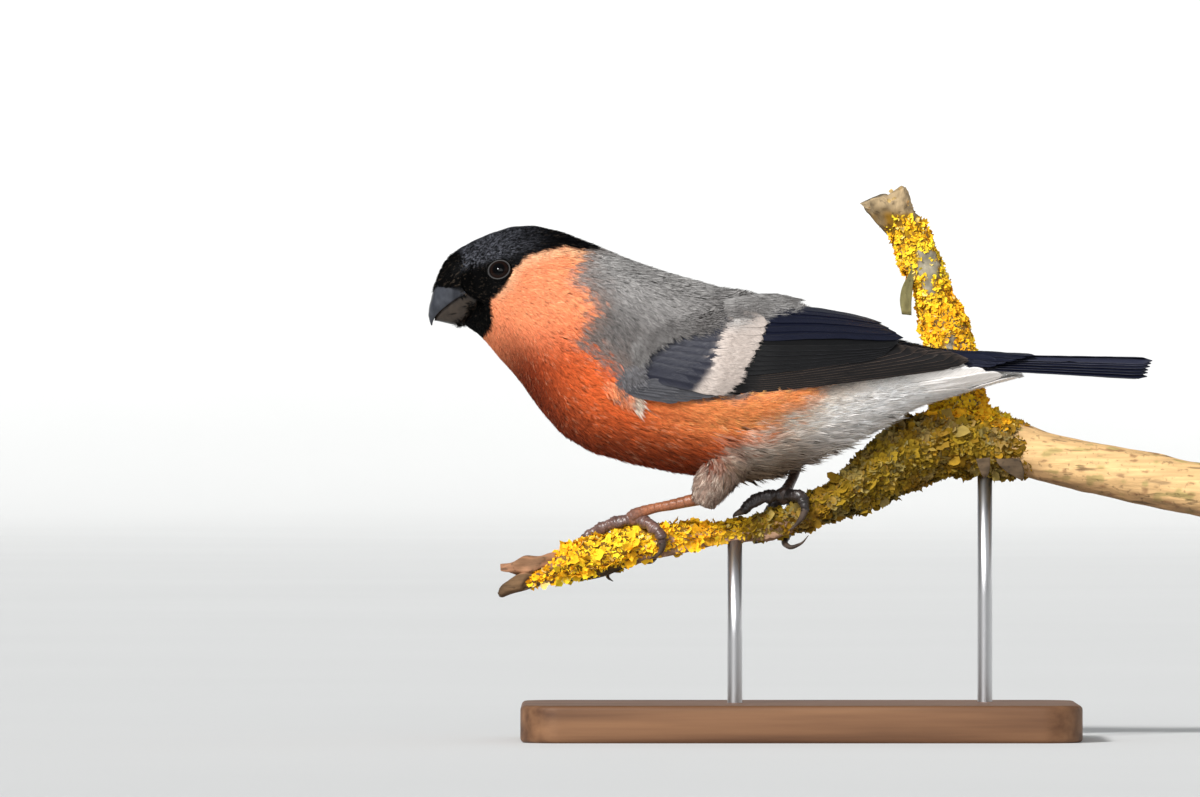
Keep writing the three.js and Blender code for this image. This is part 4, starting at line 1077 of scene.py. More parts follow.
def feather_row(bundle, shell, side, count, first, last, colour, reach=None, bow=0.0, tones=0.1, **look):
    """A row of feathers between its first and last, each given as (root, tip, lift, width)."""
    for k in range(count):
        s = k / max(count - 1, 1)
        root, tip, lift = (mix(np.array(first[n]), np.array(last[n]), s) for n in range(3))
        if reach:
            tip = tip + reach(s)
        line = folded_line(shell, root, tip, lift, bow)
        tone = draws.uniform(1 - tones, 1 + tones)
        tint = (lambda t, u, s=s, tone=tone: colour(t, u, s) * tone) if callable(colour) else colour * tone
        add_vane(bundle, *(on_side(v, side) for v in line), mix(first[3], last[3], s), tint, **look)


BLUE_BLACK = paint(16, 19, 36)
BLACK = paint(15, 15, 16)
PRIMARY_BLACK = paint(24, 22, 22)
PANEL = paint(36, 37, 48)
BAR = paint(194, 181, 172)
ALULA = paint(66, 66, 70)
PALE_EDGE = paint(150, 128, 114)


def covert_colour(t, u, s):
    """Blue-black for over half of a greater covert, then the pale tip that makes the bar."""
    start = mix(0.74, 0.56, s)
    pale = ease(start - 0.03, start + 0.06, t + 0.05 * u ** 2)
    tint = blend(np.broadcast_to(PANEL, pale.shape + (3,)), BAR * 0.85, pale)
    return blend(tint, ALULA * 1.3, (1 - pale) * ease(0.5, 1.0, np.abs(u)) * 0.35)


def primary_reach(s):
    """Extra length of the middle primaries, which make the wing's tip."""
    return np.array([1, 0.05]) * np.interp(s, [0, 0.12, 0.3, 0.5, 0.75, 1], [0, 3.6, 5.4, 4.4, 2.0, 0])


def covert_reach(s):
    """Extra length of the middle greater coverts, whose tips make the bar's edge."""
    return np.array([1, 0.0]) * 4 * s * (1 - s) * 1.8


def folded_wing(side):
    """One folded wing. side is -1 for the left and 1 for the right."""
    bundle = Bundle()
    bed_x = np.linspace(-33, 30, 40)[:, None]
    share = np.linspace(0.04, 0.96, 12)
    narrowed = mix(mix(0.82, 1.0, ease(-26, -14, bed_x)), 0.7, ease(-8, 2, bed_x))
    bed_z = mix(wing_low(bed_x), wing_high(bed_x), share * narrowed)
    bed_angle = wing.angle_at(bed_x, bed_z)
    bed_x = bed_x + 0 * bed_z
    _, _, up = frame_on(wing, bed_x, bed_angle)
    top, under = (wing(bed_x, bed_angle) + up * h for h in (-0.55, -0.95))
    rings = on_side(np.concatenate([top, under[:, ::-1]], 1), side)
    greyed = ease(82, 86, rings[..., 2]) * ease(-8, -14, rings[..., 0])
    bed_tint = layered(rings, BLACK, (MANTLE * 0.8, greyed))
    bundle.add(rings, bed_tint, rings[..., [0, 2]])
    for count, first, last, look in WING_ROWS:
        feather_row(bundle, wing, side, count, first, last, **look)
    name = "wing_left" if side < 0 else "wing_right"
    bundle.piece(f"{name}_vanes", FEATHERS["flight"], nodes=(name,))


# The rows from below: primaries, secondaries, tertials, alula and greater coverts. Each has a
# count, its first and last feather as (root, tip, lift, width), and a look.
WING_ROWS = [
    (9, ((-20, 74.6), (34.0, 80.9), (-0.25, -0.05), 2.6), ((-15, 78.6), (22.6, 84.1), (0.3, 0.45), 3.0),
     {"colour": PRIMARY_BLACK, "reach": primary_reach, "blunt": 0.08, "bow": -0.5, "lean": 0.1,
      "fringe": (PALE_EDGE, 0.4)}),
    (6, ((-17, 79.0), (18.4, 83.2), (0.5, 0.65), 3.4), ((-13, 84.6), (20.8, 84.9), (0.9, 1.05), 4.0),
     {"colour": BLACK, "blunt": 0.1, "bow": -0.4, "lean": 0.1, "fringe": (ALULA, 0.4)}),
    (4, ((-13, 86.0), (21.8, 85.6), (0.9, 1.1), 4.4), ((-10, 91.6), (17.2, 88.7), (1.0, 1.05), 4.8),
     {"colour": BLUE_BLACK, "blunt": 0.2, "bow": 0.9, "lean": 0.07, "thick": 0.1}),
    (4, ((-37, 74.8), (-26.0, 73.2), (0.1, 0.75), 2.8), ((-35, 76.0), (-17.6, 74.6), (0.2, 0.95), 3.2),
     {"colour": ALULA, "blunt": 0.2, "fringe": (BAR, 0.25), "lean": 0.1}),
    (10, ((-37.0, 79.0), (-17.0, 75.2), (-0.6, 1.15), 4.6), ((-23.5, 89.4), (-7.4, 88.6), (-0.8, 1.4), 5.0),
     {"colour": covert_colour, "reach": covert_reach, "blunt": 0.22, "bow": 0.3, "lean": 0.06,
      "tones": 0.04, "shaft_tone": 0.9, "thick": 0.08}),
]
for wing_side in (-1, 1):
    folded_wing(wing_side)

# %% Soft barbs over the pale bar
bar_right = through([74.6, 76.3, 80.6, 83.9, 87.1, 90.7], [-17.2, -13.6, -11.4, -9.2, -8.0, -6.9])
bar_width = through([75, 80, 86, 91], [5.8, 7.6, 9.2, 7.4])
bar_up, bar_along = golden(820)
bar_z = mix(75.0, 89.8, bar_up)
feather_step = 0.4 * np.sin(bar_z * 3.6)
bar_x = bar_right(bar_z) + feather_step - mix(2.6, bar_width(bar_z), bar_along)
bar_angle = wing.angle_at(bar_x, bar_z)
bar_x, bar_angle = np.concatenate([bar_x, bar_x]), np.concatenate([bar_angle, -bar_angle])
bar_z = np.concatenate([bar_z, bar_z])
size = draws.uniform(2.2, 3.4, len(bar_x))
heading = (0.02 + draws.normal(0, 0.1, len(size))) * np.sign(bar_angle)
rise = draws.uniform(-0.05, 0.12, len(size))
barbs = Tufts(raised_wing, bar_x, bar_angle, heading, size, size * 0.16, 0.3, rise, loose=0.05)
tint = blend(np.broadcast_to(BAR, (len(size), 3)), MANTLE_PALE_AND_LIT, 0.8 * ease(86.5, 89.8, bar_z))
tint = tint * mix(0.86, 1, ease(75, 81, bar_z))[:, None]
barbs.piece(
    "wing_bar_barbs", (FEATHERS["rump"][0], "flight_feathers"), barbs.shaded(tint, 0.03, 0.05, 0.92, 1.06),
    skin_place(bar_x, bar_angle),
)

# %% [markdown]
# ## Tail
#
# The folded tail holds twelve feathers, six a side, stacked under the middle pair like a low roof.
# Long black coverts lie over its root and white ones under it.

# %% Tail
TAIL_SHEEN = paint(44, 46, 62)
TAIL = {
    "root": 30.0, "tip": 75.6, "width": 4.2, "spread": 4.3, "ridge": 82.9, "slope": -0.018, "roof": 0.42,
    "drop": 0.34, "shorter": 0.25, "ranks": 6,
}


def tail_feather(bundle, rank, side):
    """One tail feather: rank 0 is next to the middle and on top, rank 5 outermost and lowest."""
    t = np.linspace(0, 1, VANE_ROWS)
    x = mix(TAIL["root"], TAIL["tip"] - rank * TAIL["shorter"] + draws.uniform(-0.15, 0.15), t)
    y = rank * TAIL["spread"] / (TAIL["ranks"] - 1) * mix(0.55, 1, t) + 0.9
    slant = TAIL["roof"] * mix(0.6, 1, t)
    z = TAIL["ridge"] + (x - TAIL["root"]) * TAIL["slope"] - rank * TAIL["drop"] - slant * y
    z = z + (t ** 3) * draws.uniform(-0.1, 0.1)
    centre = np.stack([x, side * y, z], 1)
    inward = unit(np.stack([0 * x, -side + 0 * x, slant], 1))
    up = unit(np.stack([0 * x, side * slant, 1 + 0 * x], 1))
    web = 0.5 if rank == 0 else 0.36
    # Upper ranks take TAIL_SHEEN, a paler blue-grey, as painted sheen on the top of the folded tail; lower
    # ranks are blue-black.
    tone = mix(TAIL_SHEEN, BLUE_BLACK, min(rank / 3, 1)) * draws.uniform(0.9, 1.15)
    look = {"blunt": 0.03, "web": web, "lean": 0.03, "fringe": (ALULA, 0.35)}
    add_vane(bundle, centre, inward, up, TAIL["width"], tone, **look)


tail, under_tail = Bundle(), Bundle()
for rank in reversed(range(TAIL["ranks"])):
    for tail_side in (-1, 1):
        tail_feather(tail, rank, tail_side)
TAIL_COVERTS = [
    (tail, ((27, 81.6), (42.5, 80.9), (-0.4, 0.3), 3.6), ((27, 84.6), (50.5, 82.3), (-0.4, 0.35), 3.4),
     {"colour": BLUE_BLACK, "blunt": 0.3, "lean": 0.06, "thick": 0.1}),
    (under_tail, ((16, 77.6), (33.5, 79.6), (-0.9, 0.2), 4.6), ((22, 71.6), (47.0, 78.2), (-0.9, 0.2), 4.2),
     {"colour": WHITE * 0.92, "blunt": 0.4, "lean": -0.05, "tones": 0.03, "shaft_tone": 0.97}),
]
for bundle, first, last, look in TAIL_COVERTS:
    for tail_side in (-1, 1):
        feather_row(bundle, tail_base, tail_side, 5, first, last, **look)
tail.piece("tail_vanes", FEATHERS["flight"], nodes=("tail",))
under_tail.piece("under_tail_coverts", FEATHERS["rump"])

# %% [markdown]
# ## Bill
#
# The bullfinch's bill is short, deep and swollen, with a hooked tip and a curved line of the
# mouth. Horn is built up as a row of arched sections from the root to the tip. The lower half's
# rim stands a little inside the upper half's, as real cutting edges do, so only a dark line shows.

# %% Bill
UPPER_BILL = np.array([  # ridge x, ridge z, edge x, edge z, half width
    (-75.0, 101.4, -70.2, 96.4, 5.0), (-75.6, 101.0, -70.8, 96.2, 5.0),
    (-77.4, 99.4, -72.7, 95.4, 4.8), (-78.6, 97.2, -74.4, 94.4, 4.3),
    (-79.4, 94.6, -76.1, 93.2, 3.5), (-79.85, 92.2, -77.8, 91.7, 2.3),
    (-79.75, 90.6, -78.7, 90.4, 1.2), (-79.3, 89.1, -79.05, 89.2, 0.22),
])
LOWER_BILL = np.array([
    (-68.4, 91.6, -68.8, 96.6, 4.6), (-69.0, 91.4, -69.4, 96.4, 4.7),
    (-71.6, 89.6, -72.2, 95.9, 4.6), (-73.8, 89.3, -74.2, 94.9, 4.0),
    (-75.8, 89.6, -75.9, 93.8, 3.1), (-77.5, 90.0, -77.5, 92.3, 2.0),
    (-78.6, 90.15, -78.5, 91.2, 0.7),
])
NASAL_BED = np.array([
    (-71.4, 105.9, -69.0, 98.4, 8.4), (-74.0, 104.8, -70.8, 98.0, 7.9), (-75.7, 103.3, -72.5, 97.8, 7.1),
    (-76.8, 101.6, -74.0, 97.7, 6.0), (-77.6, 99.9, -75.6, 97.6, 4.7), (-78.2, 98.4, -77.2, 97.4, 3.1),
    (-78.7, 97.0, -78.3, 96.9, 1.5), (-79.1, 95.6, -78.9, 95.6, 1.0),
])


BILL_GRID = 48, 44
LOWER_INSET = 0.15


def arch_at(table, t, angle, inset=0.0):
    """A point on a half of the bill: t runs from root to tip, and the angle from the ridge.

    Across, it is half the width times the sine to the power 0.8. From the edge up to the ridge it
    is the cosine to the power 0.9. Both powers make the section fuller than an ellipse.
    """
    t, angle = np.broadcast_arrays(np.asarray(t, float), np.asarray(angle, float))
    columns = through(np.linspace(0, 1, len(table)), table)(t)
    ridge_x, ridge_z, edge_x, edge_z, half = np.moveaxis(columns, -1, 0)
    s, c = np.sin(angle), np.sign(np.cos(angle)) * np.abs(np.cos(angle)) ** 0.9
    y = np.sign(s) * np.abs(s) ** 0.8 * (half - inset)
    return np.stack([mix(edge_x, ridge_x, c), y, mix(edge_z, ridge_z, c)], -1)


def bill_half(table, inset=0.0):
    """Rings along a half of the bill: the arch, closed by a flat floor at its edge."""
    rows, columns = BILL_GRID
    t = np.linspace(0, 1, rows)[:, None]
    arch = arch_at(table, t, np.linspace(-np.pi / 2, np.pi / 2, columns)[None, :], inset)
    share = np.linspace(1, 0, 12)[None, 1:-1, None]
    return np.concatenate([arch, mix(arch[:, :1], arch[:, -1:], share)], 1)


def two_tone(tree, factor, first, second):
    """A colour between two, by a factor: the colour sockets of a mix node are its 6th and 7th."""
    colours = {6: (*first, 1), 7: (*second, 1)}
    return node(tree, "ShaderNodeMix", {"Factor": factor, **colours}, 2, data_type="RGBA")


HORN_GRAIN = 2.6, 2.0, 3.4


def horn_finish(name, dark, light, rough):
    """Horn: soft cloudy growth over two near tones, hardly raised."""
    material, tree, shader = new_finish(name, Roughness=rough, Specular_IOR_Level=0.3)
    grain = stretched_noise(tree, tuple(1 / (mm * MM) for mm in HORN_GRAIN), 5.0)
    painted(tree, shader, colour=two_tone(tree, spread(tree, grain, 0.0, 1.0), dark, light))
    bumped(tree, shader, grain, 0.12, 0.2 * MM)
    return material


def closed_shell(rings):
    """Points and outward faces of a closed tube of rings."""
    points, faces = tube_with_ends(rings)
    turned_out = signed_volume(points, faces[0]) > 0
    return points, faces if turned_out else [f[:, ::-1] for f in faces]


upper_horn = horn_finish("upper_horn", paint(34, 36, 42), paint(64, 66, 72), 0.22)
lower_horn = horn_finish("lower_horn", paint(38, 31, 26), paint(60, 51, 43), 0.2)
for half, table, inset, horn in (
    ("upper_bill", UPPER_BILL, 0.0, upper_horn), ("lower_bill", LOWER_BILL, LOWER_INSET, lower_horn),
):
    new_piece(f"{half}_horn", *closed_shell(bill_half(table, inset)), (horn, "bill_horn"), nodes=(half,))

# %% [markdown]
# ## Bristles round the bill
#
# Short stiff bristles hide the nostrils and the bill's root. They grow forward over the upper
# half, and wisps stand off the forehead, the gape and the chin.

# %% Bristles
nasal_rings = bill_half(NASAL_BED - [-0.35, 0.35, 0, 0, 0.35])[:40]
nasal_points, nasal_faces = closed_shell(nasal_rings)
new_piece(
    "nasal_skin", nasal_points, nasal_faces, FEATHERS["cap"],
    colours=np.broadcast_to(LORE * 0.7, nasal_points.shape),
)


def bill_surface(table, hand=1, inset=0.0):
    """A table as a surface: p runs ten from root to tip, and hand is -1 where its outside is below."""
    return lambda p, angle: arch_at(table, p / 10, hand * angle, inset)


def bristles(name, surface, p_range, q_range, density, seed, length, width, rise, heading, fleck):
    """Narrow black tufts with a few grey-brown ones among them."""
    p, q = scatter(surface, p_range, q_range, density, seed)
    count = len(p)
    size = length * draws.uniform(0.55, 1.4, count)
    heading = heading * np.sign(q) + draws.normal(0, 0.25, count)
    rise = draws.uniform(*rise, count)
    tufts = Tufts(surface, p, q, heading, size, size * width, 0.25, rise, barbs=3)
    flecked = (draws.random(count) < fleck) * 0.6
    tint = blend(np.broadcast_to(LORE * 1.3, (count, 3)), FACE_FLECK, flecked)
    place = np.stack([mix(0.45, 0.55, (q - q_range[0]) / (q_range[1] - q_range[0])), p * 0.002], -1)
    tufts.piece(name, FEATHERS["cap"], tufts.shaded(tint, 0.0, 0.2), place)


def nasal_cover(points):
    """Thick all over the cushion."""
    return 18 + 0 * points[..., 2]


def gape_cover(points):
    """Over the corner of the mouth, behind the bare horn."""
    x, z = points[..., 0], points[..., 2]
    behind = ease(-73.4, -72.6, x + 0.3 * noise(points, 0.9, 62))
    return 12 * behind * ease(93.6, 94.6, z) * (1 - ease(98.5, 99.5, z))


def chin_cover(points):
    """Over the root of the lower half of the bill, from under it."""
    x, z = points[..., 0], points[..., 2]
    line = mix(-72.8, -70.4, ease(89.5, 92.5, z)) + 0.4 * noise(points, 1.0, 63)
    return 14 * ease(line - 0.3, line + 0.3, x) * (1 - ease(93.5, 95.0, z))


# Surface and the ranges of its two parameters; density, seed; length, slimness, rise, heading, flecks
BRISTLES = {
    "nasal": (bill_surface(NASAL_BED), (0.4, 8.0), (-1.62, 1.62), nasal_cover, 0.31,
              1.35, 0.17, (-0.05, 0.5), 0.3, 0.05),
    "gape": (bill_surface(UPPER_BILL), (0.4, 4.0), (-1.57, 1.57), gape_cover, 0.77,
             1.1, 0.22, (0.1, 0.45), 1.5, 0.35),
    "chin": (bill_surface(LOWER_BILL, -1, LOWER_INSET), (0.4, 4.5), (-1.5, 1.5), chin_cover, 0.13,
             1.5, 0.16, (0.2, 0.9), 0.2, 0.1),
}
for name, rule in BRISTLES.items():
    bristles(f"{name}_bristles", *rule)

# %% [markdown]
# ## Eyes
#
# The eye is a wet dark ball, sunk so that only a low dome shows inside a beaded ring of bare lid.
# Its iris is a brown so deep that it almost joins the pupil. The ring is a little wider than it
# is high and lies aslant, lower in front.

# %% Eyes
def eye_seat(side):
    """Where an eye looks out: its place on the head, the way it faces, and its two axes."""
    angle = body.angle_at(EYE["x"], EYE["z"]) * -side
    _, _, normal = frame_on(body, np.array([EYE["x"]]), np.array([angle]))
    out = normal[0]
    forward = unit(np.array([1.0, 0, 0]) - out * out[0])
    above = unit(np.array([0.0, 0, 1]) - out * out[2] - forward * forward[2])
    c, s = np.cos(EYE["tilt"]), np.sin(EYE["tilt"])
    return body(EYE["x"], angle).reshape(3), out, forward * c - above * s, forward * s + above * c


def ball_rings(radius, grid, seat, axis):
    """Rings of a ball round a seat, from the way that it faces to behind, and their profile."""
    rows, columns = grid
    dome = np.linspace(0.02, np.pi - 0.02, rows)
    profile = np.stack([np.sin(dome), np.cos(dome)], 1) * radius
    level = unit(np.cross(axis, [0, 0, 1.0]))
    ring = swung(level, np.cross(axis, level), full_turn(columns, 0))
    return seat + profile[:, 0, None, None] * ring + profile[:, 1, None, None] * axis, profile


PUPIL = paint(3, 3, 4)
IRIS = paint(22, 10, 6)
LID_BEAD = paint(48, 42, 37)
LID_DARK = paint(10, 9, 9)
EYE_GRID = 48, 48
LID_ROWS, LID_COLUMNS, LID_BEADS = 132, 12, 33
eye_wet, eye_tree, eye_shader = new_finish("eye_wet", Roughness=0.07, Specular_IOR_Level=0.1)
painted(eye_tree, eye_shader)
lid_skin, lid_tree, lid_shader = new_finish("lid_skin", Roughness=0.55)
painted(lid_tree, lid_shader)

for eye_side, eye_name in ((-1, "eye_left"), (1, "eye_right")):
    seat, axis, wide_way, high_way = eye_seat(eye_side)
    sunk = seat + axis * (EYE["bulge"] - EYE["radius"])
    rings, ball = ball_rings(EYE["radius"], EYE_GRID, sunk, axis)
    iris = ease(1.3, 1.45, ball[:, 0]) * (ball[:, 1] > 0) * (1 - ease(1.95, 2.15, ball[:, 0]))
    shades = np.repeat(blend(np.broadcast_to(PUPIL, (len(ball), 3)), IRIS, iris), EYE_GRID[1], axis=0)
    new_piece(
        f"{eye_name}_ball", *closed_shell(rings), (eye_wet, "eye"), nodes=(eye_name,),
        colours=np.concatenate([shades, [PUPIL, PUPIL]]),
    )
    around = full_turn(LID_ROWS, 0)[:, None]
    turn = full_turn(LID_COLUMNS, 0)[None, :]
    bead = 1 + 0.28 * np.cos(around * LID_BEADS)
    wideways, highways = np.cos(around)[..., None] * wide_way, np.sin(around)[..., None] * high_way
    oval = wideways * EYE["wide"] + highways * EYE["high"]
    inner = np.cos(turn) < 0
    across = np.cos(turn) * np.where(inner, 0.34, 0.09 * bead)
    rise = np.sin(turn) * np.where(inner, 0.13, 0.14 * bead) + 0.15 - 0.12 * (np.cos(turn) < -0.5)
    lid = seat + oval + (wideways + highways) * across[..., None] + axis * (rise + 0 * across)[..., None]
    quads = grid_faces(LID_ROWS, LID_COLUMNS, True, True)
    if signed_volume(lid.reshape(-1, 3), quads) < 0:
        quads = quads[:, ::-1]
    crest = ease(-0.35, 0.2, np.cos(turn)) * (0.35 + 0.65 * ease(0.9, 1.2, bead))
    crest = crest * ease(-0.2, 0.4, np.sin(turn))
    new_piece(
        f"{eye_name}_lid", lid, [quads], (lid_skin, "cap_feathers"),
        colours=blend(np.broadcast_to(LID_DARK, lid.shape), LID_BEAD, crest),
    )

# %% [markdown]
# ## Legs and feet
#
# Legs, toes, claws and twigs are all round surfaces along a bent path, so one class serves for
# them. Its relief adds what runs round it: overlapping plates on a shin, joints and pads on toes.
# The toes are placed by how far round the branch they reach, so that the grip fits it exactly.

# %% Round surfaces along a path
class Tube:
    """A round surface along a smooth path. Its parameters are the distance run and an angle.

    The angle starts from ups, the way that the top faces, and turns towards the left of someone
    who looks back along the path. relief(s, angle) is added to the radius.
    """

    def __init__(self, points, radii, ups=(0, 0, 1), relief=None):
        points = np.array(points, float)
        run = np.concatenate([[0], np.cumsum(np.linalg.norm(np.diff(points, axis=0), axis=-1))])
        self.length = run[-1]
        self.path = through(run, points)
        self.radius = through(run, radii)
        self.ups = through(run, np.broadcast_to(np.array(ups, float), points.shape))
        self.relief = relief

    def __call__(self, s, angle, lift=0.0):
        s, angle = np.broadcast_arrays(np.asarray(s, float), np.asarray(angle, float))
        way = unit(self.path(s + 0.1) - self.path(s - 0.1))
        side = unit(np.cross(way, self.ups(s)))
        top = np.cross(side, way)
        reach = self.radius(s) + lift
        if self.relief:
            reach = reach + self.relief(s, angle)
        return self.path(s) + reach[..., None] * swung(top, side, angle)

    def rings(self, rows, columns, lift=0.0, ends=(0.0, 1.0)):
        """Rings of points from one share of the length to another."""
        s = np.linspace(*ends, rows)[:, None] * self.length
        return self(s, full_turn(columns)[None, :], lift)


def joined(shells):
    """Several shells' points and faces as one."""
    starts = np.cumsum([0] + [len(points) for points, _ in shells])
    faces = [f + start for (_, parts), start in zip(shells, starts) for f in parts]
    return np.concatenate([points for points, _ in shells]), faces


# %% The branch's middle line and thickness
BRANCH = np.array([  # x, y, z, radius with the lichen
    (-65.0, -1.0, 31.6, 1.2), (-60.2, -1.0, 33.8, 1.7), (-51.6, -0.6, 37.0, 3.2), (-43.0, -0.3, 39.6, 4.9),
    (-34.4, 0.0, 42.0, 4.2), (-25.8, 0.2, 43.5, 3.8), (-17.2, 0.5, 44.6, 3.1), (-8.6, 0.8, 45.8, 3.3),
    (0.0, 1.5, 48.5, 4.1), (8.6, 3.2, 52.4, 5.0), (17.2, 6.2, 58.0, 7.6), (25.8, 9.0, 62.3, 8.0),
    (34.4, 10.6, 64.5, 7.9), (43.0, 11.2, 63.6, 7.2), (51.6, 11.0, 61.3, 6.0), (64.5, 10.0, 58.3, 6.1),
    (89.2, 8.0, 53.2, 6.4),
])
FORK = np.array([
    (35.5, 12.0, 66.0, 7.4), (33.6, 17.5, 77.0, 6.6), (32.0, 19.4, 86.0, 6.0), (29.5, 20.0, 95.0, 4.8),
    (25.8, 20.0, 104.5, 4.8), (22.2, 19.6, 112.0, 4.7), (18.2, 19.0, 118.2, 4.9),
])
branch_line = through(BRANCH[:, 0], BRANCH[:, 1:])


def branch_at(x, angle, lift=0.0):
    """The point at x on the branch, at an angle from its top towards the bird's left."""
    x, angle = np.broadcast_arrays(np.asarray(x, float), np.asarray(angle, float))
    y, z, radius = np.moveaxis(branch_line(x), -1, 0)
    reach = radius + lift
    return np.stack([x, y - reach * np.sin(angle), z + reach * np.cos(angle)], -1)


# %% Toes, shins and claws
FEET = {
    "left": {
        "pad": (-35.4, 4, 1.7),
        "shin": [(-21.5, -7.6, 52.0), (-27.5, -5.6, 50.6), (-33.0, -3.0, 49.4), (-35.6, -1.2, 48.2)],
        "toes": {
            "outer": [(-33.4, 30, 1.3), (-31.4, 56, 1.2), (-30.0, 78, 1.1), (-29.6, 100, 1.0)],
            "middle": [(-39.6, -6, 1.2), (-42.6, -16, 1.1), (-45.4, -30, 1.1), (-47.4, -46, 1.0)],
            "inner": [(-37.6, -42, 1.3), (-39.2, -74, 1.1), (-40.4, -104, 1.0)],
            "hind": [(-33.2, -46, 1.3), (-31.8, -84, 1.1), (-31.2, -118, 1.0)],
        },
        "claws": {
            "outer": [(-30.2, 122, 0.9), (-32.2, 142, 0.4)],
            "middle": [(-49.4, -72, 0.9), (-50.0, -92, 0.4)],
            "inner": [(-41.4, -138, 1.0), (-40.2, -168, 1.6)],
            "hind": [(-31.6, -144, 0.9), (-33.2, -166, 0.4)],
        },
    },
    "right": {
        "pad": (-3.4, -4, 1.8),
        "shin": [(-0.6, 8.4, 60.0), (-1.2, 6.4, 57.2), (-2.4, 3.6, 54.6), (-3.2, 1.6, 53.0)],
        "toes": {
            "middle": [(-7.0, 6, 2.9), (-9.6, 8, 2.8), (-11.4, 10, 2.0), (-12.4, 10, 1.1)],
            "inner": [(-0.4, 38, 1.2), (0.8, 62, 1.2), (0.9, 86, 1.0)],
            "hind": [(-1.4, -58, 1.2), (-1.8, -102, 1.1), (-3.0, -144, 1.0)],
            "outer": [(-6.2, -48, 1.2), (-7.8, -80, 1.1), (-8.8, -108, 1.0)],
        },
        "claws": {
            "middle": [(-13.8, 12, 0.7), (-14.4, 30, 0.3)],
            "inner": [(-0.4, 108, 0.8), (-2.6, 126, 0.4)],
            "hind": [(-2.9, -172, 1.7), (-0.4, -192, 2.5), (1.8, -212, 1.9)],
            "outer": [(-9.6, -134, 0.8), (-9.0, -156, 0.4)],
        },
    },
}
SHIN_RADII = [1.45, 1.15, 1.15, 1.6]
SHIN_PLATE, TOE_PLATE = 1.7, 0.9  # length of one plate, mm
SHIN_GRID, CLAW_GRID, THIGH_GRID, KNUCKLE_GRID = (110, 24), (36, 16), (24, 32), (18, 28)
TOE_ROWS_PER_MM, TOE_COLUMNS = 8, 20
TOE_ROOT, TOE_TIP, CLAW_ROOT, CLAW_TIP, KNUCKLE = 1.3, 0.86, 0.84, 0.07, 1.95  # radii, mm
# The right leg, on the far side, is given darker tones than the left as painted shade under the bird.
LEG_TONES_AND_SHADE = {
    "left": {"shin": paint(150, 93, 63), "toes": paint(112, 84, 76)},
    "right": {"shin": paint(92, 68, 56), "toes": paint(62, 54, 52)},
}


def plates(pitch, height, round_pads=0.0, joints=()):
    """Relief of a scaled toe or shin: plates that overlap on top, and pads that swell below."""
    def relief(s, angle):
        saw = (s / pitch) % 1
        on_top = ease(-0.2, 0.5, np.cos(angle))
        plate = height * on_top * (saw ** 0.7 - 0.5) * (1 - ease(0.9, 1.0, saw))
        below = ease(0.1, 0.9, -np.cos(angle))
        pad = round_pads * below * np.abs(np.sin(np.pi * s / (pitch * 2.4))) ** 0.6
        knob = sum(0.26 * np.exp(-((s - place) / 0.65) ** 2) for place in joints)
        return plate + pad + knob
    return relief


def on_branch(stops):
    """Points and ways out from the branch for stops of (x, degrees round it, height over it)."""
    x, degrees, lift = np.array(stops, float).T
    points = branch_at(x, np.radians(degrees), lift)
    return points, unit(points - branch_at(x, np.radians(degrees), lift - 2.0))


def leg_finish():
    """Bare leg skin: the tone on the mesh, with fine cracks between scales, slightly waxy."""
    material, tree, shader = new_finish("leg_scales", Roughness=0.33, Specular_IOR_Level=0.5)
    cells = {"Vector": node(tree, "ShaderNodeTexCoord", output=3), "Scale": 1500.0}
    scales = node(tree, "ShaderNodeTexVoronoi", cells, feature="DISTANCE_TO_EDGE")
    crack = ramp(tree, scales, 0.0, 0.12, 0.55, 1.0)
    patches = spread(tree, stretched_noise(tree, (260.0, 260.0, 260.0)), 0.7, 1.25)
    painted(tree, shader, product(tree, crack, patches))
    bumped(tree, shader, crack, 0.3, 0.1 * MM)
    return material


leg_scales = leg_finish(), "leg_skin"


def toned_shell(rings, colours):
    """A closed shell and a colour for each of its points."""
    points, faces = closed_shell(rings)
    tint = np.broadcast_to(colours, rings.shape).reshape(-1, 3)
    return points, faces, np.concatenate([tint, tint[:1], tint[-1:]])


